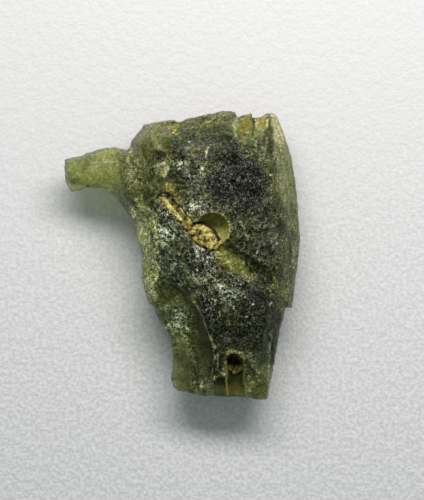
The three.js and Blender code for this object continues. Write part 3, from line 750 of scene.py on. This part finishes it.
# Where the glass is smooth.
SMOOTH = [
    # the foot's sides, the scoop and the trough
    ((183, 368), (10, 26), 0.8), ((261, 389), (11, 8, -15), 0.7), ((164, 296), (13, 10, -20), 0.5),
    ((232, 261), (17, 8, -40), 0.6),
    # blotches of the block and the upper middle, the right band and the left flank
    ((165.5, 172), (4, 6), 0.5), ((177, 131), (5, 5), 0.6), ((222, 133), (11, 10), 0.6),
    ((286, 175), (9, 55, 6), 0.6), ((276, 130), (10, 20, 10), 0.7), ((146, 252), (11, 44), 0.35),
]
# Pale spots of the left flank that stay even, and are lifted as painted glow.
CALM = [((144, 238), (6, 12, 30), 1), ((132.8, 212.6), (3.2, 4.6, 35), 1)]
# The scoop's smooth band, as pixels of a line.
SMOOTH_BAND = [(165, 287), (184, 293), (195, 310), (201, 326), (203, 345)]
# Single ovals: the left flank's colour, partly painted glow, its coarse mottling of painted light and shade,
# and its edge, which isn't darkened.
FLANK_COLOUR = (143, 255), (14, 45)
FLANK_MOTTLE = (148, 250), (11, 42)
FLANK_EDGE = (146, 250), (24, 60)
CENTRE_LEFT = (172, 250), (22, 36)
BUBBLE_PAINTED_LIGHT = (222, 235), (8, 12, -30)
CHANNEL_RUST = (236, 389), (5, 3.5)


class Paint:
    """The colour and clearness of each point. Clay makes no use of its clearness."""

    def __init__(self, count, colour):
        self.tint = np.tile(colour[0], (count, 1))
        self.clear = np.full(count, colour[1])

    def lay(self, mask, colour):
        """Lays a colour over the paint where its mask is 1."""
        mask = np.clip(mask, 0, 1)
        self.tint = lerp(self.tint, colour[0], mask[:, None])
        self.clear = lerp(self.clear, colour[1], mask)


def paint_face(paint, at):
    """The edge, the left flank and the spout, then the zones and lines of the upper side."""
    edge = 1 - smoothstep(at.depth + 0.5 * at.grain(1.4, 11), 0.2, 2.0)
    paint.lay(0.5 * edge, LIGHT)
    # The left flank's pale green is partly painted glow of light passing through its shaded wall.
    paint.lay(0.8 * at.oval(*FLANK_COLOUR), FLANK_GLOW)
    paint.lay(at.spout, look(188, 196, 122, 0.7))
    for middle, size, strength, colour in ZONES:
        paint.lay(strength * at.up * at.oval(middle, size), colour)
    broken = at.up * (0.75 + 0.5 * at.grain(0.5, 22))
    for pixels, half, strength, colour in LINES:
        paint.lay(strength * broken * stroke(*at.near, pixels, half), colour)


def paint_scallops(paint, at):
    paint.lay(0.25 * at.lip, look(112, 114, 70))
    paint.lay(0.4 * at.scallop_lip, look(170, 172, 112))
    paint.lay(0.8 * at.scallop, look(150, 156, 88, 0.35))
    rust = 0.6 + 0.4 * smoothstep(at.grain(0.6, 42) + 0.6 * at.grain(0.25, 43), -0.2, 0.5)
    for middle, size, strength, colour in SCALLOP_MARKS:
        paint.lay(strength * at.up * rust * at.oval(middle, size, 0.3), colour)
    for pixels, half, strength, colour in SCALLOP_LINES:
        paint.lay(strength * at.up * stroke(*at.near, pixels, half), colour)


def paint_bubble(paint, at):
    paint.lay(at.bubble, look(176, 172, 82))
    # A pool of painted light on the lit wall inside the bubble.
    paint.lay(at.bubble * oval(at.x, at.y, *BUBBLE_PAINTED_LIGHT, 0.7), look(228, 224, 128))
    # Painted shadow in the gap beside the clay, and a painted highlight on the wall's lit edge.
    paint.lay(at.bubble * stroke(at.x, at.y, GAP_SHADOW, 1.6, 0.3), BLACK)
    paint.lay(at.bubble * stroke(at.x, at.y, BUBBLE_EDGE, 0.8), look(205, 200, 125))
    paint.lay(0.8 * at.rim * smoothstep(at.x, 2.1, 2.7), look(178, 182, 122))


def paint_channels(paint, at):
    """Both channels, the crust in the larger one, its lips, and the crack's walls."""
    paint.lay(at.channel, look(58, 60, 24, 0.2))
    paint.lay(0.8 * at.channel * smoothstep(-at.y, 12.9, 14.2), look(118, 116, 54, 0.2))
    paint.lay(0.6 * at.channel * at.oval(*CHANNEL_RUST), look(112, 84, 40, 0.2))
    small = at.channel * smoothstep(-at.x, -4.5, -4.3)
    paint.lay(small, look(84, 92, 52, 0.25))
    paint.lay(0.7 * small * smoothstep(at.y, -13.2, -12.4), NIGHT)
    inside = np.maximum(at.channel, at.hole)
    ragged = shaken(at.x, at.y, at.grain, 0.16, 0.45, 52)
    crust = inside * oval(*ragged, CRUST["at"], CRUST["size"], 0.15)
    pale = smoothstep(at.grain(0.45, 51) + 0.7 * at.grain(0.22, 54), -0.5, 0.1)
    paint.lay(crust, BROWN)
    paint.lay(crust * pale, look(186, 166, 100, 0.1))
    # The hole's black is painted shade in its depth.
    paint.lay(inside * oval(*ragged, HOLE["at"], HOLE["size"], 0.2), BLACK)
    for spot in HOLE_SPOTS:
        paint.lay(0.8 * inside * oval(at.x, at.y, spot, (0.9, 0.9)), look(120, 100, 55, 0.1))
    paint.lay(inside * stroke(*ragged, CRUST_EDGE, 1.3), BLACK)
    face = np.maximum(at.up, at.channel)
    paint.lay(0.9 * face * stroke(*at.near, RIGHT_LIP, 1.2), look(168, 168, 104, 0.25))
    paint.lay(0.85 * face * stroke(*at.near, LEFT_LIP, 0.9), look(160, 164, 104, 0.25))
    paint.lay(0.9 * at.crack, BROWN)


def smooth_parts(at):
    """1 where the glass has no etching."""
    hollows = [at.bubble, at.channel, at.crack, 0.6 * at.facet, 0.7 * at.spout, 0.7 * at.scallop]
    band = 0.65 * stroke(*at.warped, SMOOTH_BAND, 4.5)
    return np.maximum.reduce(hollows + [at.up * band, at.up * at.strongest(SMOOTH)])


def paint_frost(paint, at, frost, frost_and_crest_highlights):
    """White crumbs on the crests, partly frost and partly painted highlight, and light and dark patches
    between them.
    """
    paint.lay(0.2 * frost * frost_and_crest_highlights, look(180, 190, 160, 0.1))
    patches = smoothstep(at.grain(1.0, 61) + 0.5 * at.grain(0.4, 62), -0.25, 0.45)
    paint.lay(0.6 * frost ** 2 * patches, look(150, 160, 136, 0.1))
    paint.lay(0.5 * frost * (1 - patches), NIGHT)


def light_and_dark(at, contrast):
    """How much lighter or darker each point is: the etching's own tone, with painted light and shade on its
    crests and hollows. A point's tint is multiplied by e to this power.
    """
    along, across = 0.47 * at.x - 0.88 * at.y, 0.88 * at.x + 0.47 * at.y
    streaks = grain(0.3 * along, across, at.z, 0.45, 60)
    shade = 0.6 * at.grain(1.3, 9) + 0.38 * at.grain(0.5, 10) + 0.4 * streaks
    # The crest term is a painted highlight on crests of etching, with painted shade between them.
    shade = shade * (0.4 + 0.9 * contrast) + 0.12 * (at.crest - 0.5) * contrast
    # Painted light and shade of coarse hollows and crests on the left flank and the centre left.
    centre_left = 0.6 * at.oval(*CENTRE_LEFT, 0.6)
    coarse = np.maximum(at.oval(*FLANK_MOTTLE), centre_left) * at.up * (1 - 0.75 * at.strongest(CALM))
    shade = shade + coarse * (0.8 * at.grain(0.75, 70) + 0.35 * at.grain(0.33, 71))
    return np.clip(shade + 0.3 * at.band * at.flow, -1.5, 1)


def paint_glass(at):
    """Colour, clearness, frost, roughness and the strength of fine etching, for each point of the glass."""
    paint = Paint(len(at.x), OLIVE)
    for paint_part in (paint_face, paint_scallops, paint_bubble, paint_channels):
        paint_part(paint, at)
    smooth = smooth_parts(at)
    frost = np.maximum(0.08, at.strongest(FROST, 0.6)) * at.up * (1 - smooth)
    # Whitish crests: partly frost, partly painted highlight.
    frost_and_crest_highlights = smoothstep(at.crest + 0.5 * at.grain(0.3, 8), 0.7, 1.1)
    paint_frost(paint, at, frost, frost_and_crest_highlights)
    # Painted glints: bright highlights, kept from the etching's light and dark and allowed to be brighter.
    small_glints = [(glint, (0.9, 0.9), 1) for glint in GLINTS]
    painted_glints = at.up * np.maximum(strongest(*at.near, GLINT_PATCHES, 0.5), strongest(*at.near, small_glints, 0.6))
    paint.lay(0.9 * painted_glints, GLINT)

    sharp = at.up * at.strongest(SHARP, 0.6)
    contrast = (0.85 + 0.8 * frost + sharp) * (1 - 0.8 * smooth) * (1 - 0.7 * painted_glints)
    # The pale flank spots are lifted and may be brighter: painted glow.
    calm = at.strongest(CALM)
    shade = light_and_dark(at, contrast) * (1 - painted_glints)
    shade = lerp(shade, 0.5 * shade + 0.15, calm)
    blue = np.minimum(BLUE_CONTRAST["bright"] * shade, BLUE_CONTRAST["dark"] * shade)
    tint = paint.tint * np.exp(np.stack([RED_CONTRAST * shade, shade, blue], 1))
    brightest = BRIGHTEST + 0.25 * np.maximum(painted_glints, calm)
    tint = tint * np.minimum(1, brightest / tint.max(1))[:, None]
    # Painted shade: a darker line along the outline, except on the left flank.
    dark_edge = at.up * (1 - smoothstep(at.depth, 0.1, 0.28)) * smoothstep(at.grain(1.5, 50), -0.6, 0.4)
    dark_edge = dark_edge * (1 - oval(at.x, at.y, *FLANK_EDGE))
    tint = tint * (1 - 0.4 * dark_edge[:, None])
    rough = lerp(0.3, 0.2, np.maximum(at.bubble, 0.4 * at.facet)) + 0.3 * frost * frost_and_crest_highlights
    rough = np.clip(rough, 0.1, 0.9)
    return {"tint": tint, "clear": paint.clear, "frost": frost, "rough": rough, "grain": contrast}


# Points lower than this, in millimetres, are the flat patch that the stone rests on.
RESTING = 0.02


def make_glass():
    points, quads = surface_net(glass_field, GRID_LOW, GRID_HIGH, GLASS_CELL)
    normal = point_normals(points, quads)
    at = make_surface(*points.T, normal)
    moved = points + normal * glass_relief(at)[:, None]
    resting = points[:, 2] < RESTING
    moved[:, 2] = np.where(resting, points[:, 2], np.maximum(moved[:, 2], 0.0))
    return moved, quads, paint_glass(at)


# ---- clay

# Crumbs as height, size and seed.
CRUMBS = [(0.12, 0.7, 30), (0.11, 0.33, 31), (0.08, 0.18, 32)]
CLAY_LOW = np.array([-3.2, -0.2, 5.4])
CLAY_HIGH = np.array([5.2, 7.2, 9.6])
# The clay's neck, its crust in the crack, and its dark spots and pale chips.
CLAY_NECK = [(182, 221.5), (189.5, 227.5)]
CLAY_CRUST = [(169, 198), (172, 202), (175.5, 206.5), (179, 212), (182.5, 216), (186, 220)]
CLAY_SPOTS = [(194, 235), (214, 238), (217.5, 240), (213, 246.5)]
CLAY_CHIPS = [((180.5, 219), (2.4, 1.2, -20)), ((209, 235), (2.5, 2))]
# Dark lines: the clay's edge and folds, and the hook at the crack's end. Pixels, half width and strength.
CLAY_LINES = [
    ([(194, 224.5), (191.3, 228), (191, 235), (194, 241), (197, 244)], 1, 0.5),
    ([(198.5, 236), (199.5, 232), (202, 231.2), (204.5, 233)], 0.9, 0.6),
    ([(198.5, 239), (203, 239.5), (207.5, 240.5)], 1.1, 0.6),
    ([(159, 196.5), (163, 197), (169.5, 197)], 1.2, 1),
    ([(160, 195), (165, 194.2), (170, 196)], 0.9, 0.9),
]


def clay_field(x, y, z):
    radius = pit_radius(x, y)
    dome = CLAY_PIT["clay_top"] - CLAY_PIT["dome"] * radius ** 2
    lump = round_max((radius - 1.04) * CLAY_PIT["half"][1], z - dome, 0.3)
    lump = np.maximum(lump, CLAY_PIT["floor"] + 0.05 - z)
    mouth = to_outline(x, y, CRACK_MOUTH) - 0.07
    seam = np.maximum(mouth, CRACK["floor"] + CRACK["rise"] * x - z)
    seam = round_max(seam, z - CRACK["clay_top"] - CRACK["rise"] * x, 0.15)
    return np.minimum(lump, seam) + sum(height * grain(x, y, z, size, seed) for height, size, seed in CRUMBS)


def paint_clay(x, y, z):
    """Pale and dark clay, with its brown neck and crust, the gap's painted shadow, and the dark hook and
    spots.
    """
    fine = partial(grain, x, y, z)
    near = shaken(x, y, fine, 0.1, 0.5, 35)
    patch = smoothstep(fine(0.6, 33) + 0.8 * fine(0.26, 34), -0.6, 0.5)
    crumb = smoothstep(-fine(0.45, 31) - 0.9 * fine(0.2, 32), -0.5, 0.25)
    in_crack = smoothstep(-x, -1.1, -0.5)
    crust = stroke(*near, CLAY_CRUST, 2.5, 0.3)
    paint = Paint(len(x), look(140, 120, 50))
    paint.lay(patch, look(216, 204, 116))
    paint.lay(0.85 * in_crack * (0.5 + 0.5 * patch), look(226, 222, 134))
    paint.lay(0.85 * stroke(*near, CLAY_NECK, 4), look(128, 98, 40))
    paint.lay(0.9 * crust, look(112, 94, 42))
    dark = lerp(lerp(0.16, 0.5, in_crack * (1 - crust)), 0.07, crust)
    tint = lerp(paint.tint * dark[:, None], paint.tint * 1.2, crumb[:, None])
    marks = [strength * stroke(*near, pixels, half) for pixels, half, strength in CLAY_LINES]
    # The gap beside the bubble's wall is painted shadow.
    marks.append(stroke(x, y, GAP_SHADOW, 1.6, 0.3))
    marks.append(0.7 * sum(oval(*near, spot, (1.2, 1.2)) for spot in CLAY_SPOTS))
    paint.tint = tint * (1 - 0.95 * np.maximum.reduce(marks))[:, None]
    paint.lay(0.9 * sum(oval(*near, *chip) for chip in CLAY_CHIPS), look(235, 226, 160))
    return np.clip(paint.tint, 0.003, 0.95)


# ---- pieces

def add_object(name, data):
    thing = bpy.data.objects.new(name, data)
    bpy.context.scene.collection.objects.link(thing)
    return thing


def mesh_piece(name, points, quads, paint, material):
    """A smooth mesh from points in millimetres, with each array of its paint as an attribute."""
    mesh = bpy.data.meshes.new(name)
    mesh.from_pydata((points * MM).tolist(), [], quads.tolist())
    mesh.shade_smooth()
    mesh.update()
    for label, values in paint.items():
        if values.ndim == 2:
            layer = mesh.attributes.new(label, "FLOAT_COLOR", "POINT")
            colour = np.concatenate([values, np.ones((len(values), 1))], 1)
            layer.data.foreach_set("color", colour.astype(np.float32).ravel())
        else:
            layer = mesh.attributes.new(label, "FLOAT", "POINT")
            layer.data.foreach_set("value", values.astype(np.float32))
    mesh.materials.append(material)
    return add_object(name, mesh)


class Fit:
    """Moves drawn points so that the glass's box is the CAD node's box."""

    def __init__(self, points, node):
        low, high = (np.array(corner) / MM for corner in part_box(node))
        self.from_low = points.min(0)
        self.scale = (high - low) / (points.max(0) - self.from_low)
        self.low = low

    def __call__(self, points):
        return self.low + (points - self.from_low) * self.scale


# ---- materials

GLASS = {"ior": 1.49, "specular": 0.1, "absorbed": (0.55, 0.63, 0.0, 1), "density": 240}
SPECK_WHITE = srgb(208, 212, 192)
PAPER = {"low": (0.7, 0.71, 0.715, 1), "high": (0.84, 0.845, 0.85, 1)}


class Nodes:
    """Short names for making a material's nodes."""

    def __init__(self, name):
        self.material = bpy.data.materials.new(name)
        self.material.use_nodes = True
        self.tree = self.material.node_tree

    def fill(self, node, inputs):
        """Fills a node's inputs: an output is linked, and a number or a colour is set."""
        for key, value in inputs.items():
            if isinstance(value, bpy.types.NodeSocket):
                self.tree.links.new(value, node.inputs[key])
            else:
                node.inputs[key].default_value = value

    def shade(self, inputs):
        self.fill(self.tree.nodes["Principled BSDF"], inputs)

    def node(self, kind, inputs, **settings):
        node = self.tree.nodes.new(kind)
        for key, value in settings.items():
            setattr(node, key, value)
        self.fill(node, inputs)
        return node

    def place(self):
        return self.node("ShaderNodeTexCoord", {}).outputs["Object"]

    def attribute(self, name, output="Fac"):
        return self.node("ShaderNodeAttribute", {}, attribute_name=name).outputs[output]

    def noise(self, size_mm, detail=2.0, roughness=0.5, vector=None, output="Fac"):
        inputs = {"Vector": vector or self.place(), "Scale": 1 / (size_mm * MM)}
        inputs.update({"Detail": detail, "Roughness": roughness})
        return self.node("ShaderNodeTexNoise", inputs).outputs[output]

    def strokes(self, size_mm, stretch, turn):
        """Noise drawn out into short strokes, turned by an angle in degrees seen from above."""
        inputs = {"Vector": self.place(), "Scale": (1, 1 / stretch, 1)}
        inputs["Rotation"] = (0, 0, math.radians(turn))
        mapping = self.node("ShaderNodeMapping", inputs)
        return self.noise(size_mm, 0.0, vector=mapping.outputs["Vector"])

    def cells(self, size_mm, warp_mm):
        """Distance from the edge between round cells, as a share of their size, with the cells warped."""
        warp = self.noise(1.6 * size_mm, output="Color")
        inputs = {0: warp, 1: (warp_mm * MM,) * 3, 2: self.place()}
        moved = self.node("ShaderNodeVectorMath", inputs, operation="MULTIPLY_ADD").outputs["Vector"]
        inputs = {"Vector": moved, "Scale": 1 / (size_mm * MM)}
        return self.node("ShaderNodeTexVoronoi", inputs, feature="DISTANCE_TO_EDGE").outputs["Distance"]

    def ranged(self, value, low, high, to_low=0.0, to_high=1.0):
        inputs = {"Value": value, "From Min": low, "From Max": high, "To Min": to_low, "To Max": to_high}
        return self.node("ShaderNodeMapRange", inputs).outputs["Result"]

    def math(self, operation, *values):
        """One operation on two values, or on more of them one after the other."""
        result = values[0]
        for value in values[1:]:
            result = self.node("ShaderNodeMath", {0: result, 1: value}, operation=operation).outputs["Value"]
        return result

    def colour(self, red, green, blue):
        inputs = {"Red": red, "Green": green, "Blue": blue}
        return self.node("ShaderNodeCombineColor", inputs).outputs["Color"]

    def mix(self, share, first, second, blend="MIX"):
        inputs = {0: share, 6: first, 7: second}
        return self.node("ShaderNodeMix", inputs, data_type="RGBA", blend_type=blend).outputs[2]

    def bump(self, height, distance_mm, strength=1.0, after=None):
        inputs = {"Height": height, "Distance": distance_mm * MM, "Strength": strength}
        if after:
            inputs["Normal"] = after
        return self.node("ShaderNodeBump", inputs).outputs["Normal"]


def frost_and_glint_specks(nodes, frost, grain, crease):
    """1 on threads of frost and on short stroke-like specks that are finer than the mesh: partly white frost
    and partly painted glints on the crests of etching.
    """
    broken = nodes.ranged(nodes.noise(0.17, 0.0), 0.5, 0.6)
    thread = nodes.math("MULTIPLY", nodes.ranged(crease, 0.09, 0.03), broken)
    patchy = nodes.ranged(nodes.noise(0.7, 2.0, 0.6), 0.4, 0.6, 0.2, 1.2)
    amount = nodes.math("MULTIPLY", frost, patchy)
    strokes = nodes.math("MAXIMUM", nodes.strokes(0.14, 1.8, -25), nodes.strokes(0.14, 1.8, 50))
    cluster = nodes.ranged(nodes.noise(0.6, 1.0), 0.4, 0.64, -0.08, 0.04)
    grown = nodes.math("ADD", strokes, cluster, nodes.math("MULTIPLY", amount, 0.1))
    etched = nodes.math("MINIMUM", grain, 1.0)
    share = nodes.ranged(amount, 0.0, 0.8, 0.14, 1.0)
    etched_share = nodes.math("MULTIPLY", etched, share)
    dots = nodes.math("MULTIPLY", nodes.ranged(grown, 0.71, 0.77), etched_share)
    return nodes.math("MAXIMUM", nodes.math("MULTIPLY", thread, amount), dots)


def fine_mottle(nodes, grain, crease):
    """Light and dark finer than the mesh, partly painted light and shade, as a colour that the tint is
    multiplied by.
    """
    fine = nodes.ranged(nodes.noise(0.15, 0.0), 0.2, 0.8, -1.2, 0.9)
    coarse = nodes.ranged(nodes.noise(0.36, 1.0), 0.2, 0.8, -1.0, 0.9)
    # Painted shade in pores, and a painted highlight on the crests between etched hollows with painted shade
    # in their middles.
    pore_shade = nodes.ranged(nodes.noise(0.2, 0.0), 0.4, 0.3, 0.0, -1.2)
    crest_light_hollow_shade = nodes.math("ADD", nodes.ranged(crease, 0.0, 0.3, 0.35, -0.35), -0.1)
    mottle = nodes.math("ADD", nodes.math("ADD", fine, coarse), crest_light_hollow_shade, pore_shade)
    mottle = nodes.math("MINIMUM", nodes.math("MULTIPLY", mottle, grain), 0.85)
    bright_blue = nodes.math("MULTIPLY", mottle, BLUE_CONTRAST["bright"])
    dark_blue = nodes.math("MULTIPLY", mottle, BLUE_CONTRAST["dark"])
    blue = nodes.math("MINIMUM", bright_blue, dark_blue)
    red = nodes.math("MULTIPLY", mottle, RED_CONTRAST)
    return nodes.colour(*(nodes.math("POWER", math.e, power) for power in (red, mottle, blue)))


def glass_material():
    """Etched green glass: clear where its attribute says, with white specks that are partly painted glints,
    and mottling that holds painted light and shade.
    """
    nodes = Nodes("moldavite_glass")
    grain = nodes.attribute("grain")
    crease = nodes.cells(0.55, 0.35)
    speck = frost_and_glint_specks(nodes, nodes.attribute("frost"), grain, crease)
    mottle = fine_mottle(nodes, grain, crease)
    shaded = nodes.mix(1.0, nodes.attribute("tint", "Color"), mottle, "MULTIPLY")
    bare = nodes.math("SUBTRACT", 1.0, speck)
    coarse = nodes.bump(nodes.noise(0.32, 2.0, 0.6), 0.05, grain)
    nodes.shade({
        "Base Color": nodes.mix(speck, shaded, (*SPECK_WHITE, 1)),
        "Transmission Weight": nodes.math("MULTIPLY", nodes.attribute("clear"), bare),
        "Roughness": nodes.math("ADD", nodes.attribute("rough"), nodes.math("MULTIPLY", speck, 0.3)),
        "Normal": nodes.bump(nodes.noise(0.16, 1.0), 0.045, grain, coarse),
        "IOR": GLASS["ior"],
        "Specular IOR Level": GLASS["specular"],
    })
    absorption = {"Color": GLASS["absorbed"], "Density": GLASS["density"]}
    volume = nodes.node("ShaderNodeVolumeAbsorption", absorption)
    nodes.fill(nodes.tree.nodes["Material Output"], {"Volume": volume.outputs["Volume"]})
    return nodes.material


def clay_material():
    nodes = Nodes("dried_clay")
    mottle = nodes.ranged(nodes.noise(0.2, 3.0, 0.7), 0.3, 0.7, 0.5, 1.4)
    grey = nodes.colour(mottle, mottle, mottle)
    nodes.shade({
        "Base Color": nodes.mix(1.0, nodes.attribute("tint", "Color"), grey, "MULTIPLY"),
        "Roughness": 0.95,
        "Normal": nodes.bump(nodes.noise(0.2, 3.0, 0.7), 0.08),
    })
    return nodes.material


def floor_material():
    """Pale paper, with its mottling stronger towards the photograph's lower edge."""
    nodes = Nodes("pale_floor")
    separate = nodes.node("ShaderNodeSeparateXYZ", {"Vector": nodes.place()})
    strength = nodes.ranged(separate.outputs["Y"], -0.022, 0.015, 3.4, 0.4)
    mottle = nodes.ranged(nodes.noise(0.4, 2.0, 0.6), 0.25, 0.75, -0.5, 0.5)
    share = nodes.math("ADD", nodes.math("MULTIPLY", mottle, strength), 0.5)
    coarse = nodes.bump(nodes.noise(0.9), 0.1)
    nodes.shade({
        "Base Color": nodes.mix(share, PAPER["low"], PAPER["high"]),
        "Roughness": 0.9,
        "Normal": nodes.bump(nodes.noise(0.35, 1.0), 0.05, 1.0, coarse),
    })
    return nodes.material


# ---- the scene

FLOOR_CORNERS = np.array([(-500, -500, 0), (500, -500, 0), (500, 500, 0), (-500, 500, 0)])
VIEW_MIDDLE = (3.098, 0.564)
VIEW_HEIGHT = 52.0
CAMERA_DISTANCE = 300.0
RIM_HEIGHT = 4.2
LAMP = {"at": (15, 83, 112), "size": (0.18, 0.042), "energy": 0.213, "colour": (1.0, 0.945, 0.94)}
SKY = {"colour": (0.85, 1.0, 0.96, 1), "strength": 0.25}


def add_camera():
    """Straight above, so that the frame's height covers 52 mm at the height of the stone's rim."""
    camera = add_object("camera", bpy.data.cameras.new("camera"))
    camera.data.lens = camera.data.sensor_width * CAMERA_DISTANCE / VIEW_HEIGHT
    camera.location = Vector((*VIEW_MIDDLE, CAMERA_DISTANCE + RIM_HEIGHT)) * MM
    camera.data.clip_start = 0.01
    camera.data.clip_end = 10
    bpy.context.scene.camera = camera


def add_lights():
    """A soft lamp behind the blunt end, and a pale sky."""
    lamp = add_object("key", bpy.data.lights.new("key", "AREA"))
    lamp.data.shape = "ELLIPSE"
    lamp.data.size, lamp.data.size_y = LAMP["size"]
    lamp.data.energy = LAMP["energy"]
    lamp.data.color = LAMP["colour"]
    lamp.location = Vector(LAMP["at"]) * MM
    lamp.rotation_euler = lamp.location.to_track_quat("Z", "Y").to_euler()
    world = bpy.data.worlds.new("world")
    bpy.context.scene.world = world
    world.use_nodes = True
    background = world.node_tree.nodes["Background"]
    background.inputs["Color"].default_value = SKY["colour"]
    background.inputs["Strength"].default_value = SKY["strength"]
    bpy.context.scene.view_settings.view_transform = "Standard"


points, quads, paint = make_glass()
fit = Fit(points, "moldavite")
stone = mesh_piece("moldavite_stone", fit(points), quads, paint, glass_material())
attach(stone, "root")
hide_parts("moldavite")

points, quads = surface_net(clay_field, CLAY_LOW, CLAY_HIGH, CLAY_CELL)
paint = {"tint": paint_clay(*points.T)}
clay = mesh_piece("dried_clay", fit(points), quads, paint, clay_material())
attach(clay, "root")
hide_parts("clay_fill")

floor = mesh_piece("floor", FLOOR_CORNERS, np.array([(0, 1, 2, 3)]), {}, floor_material())
add_camera()
add_lights()
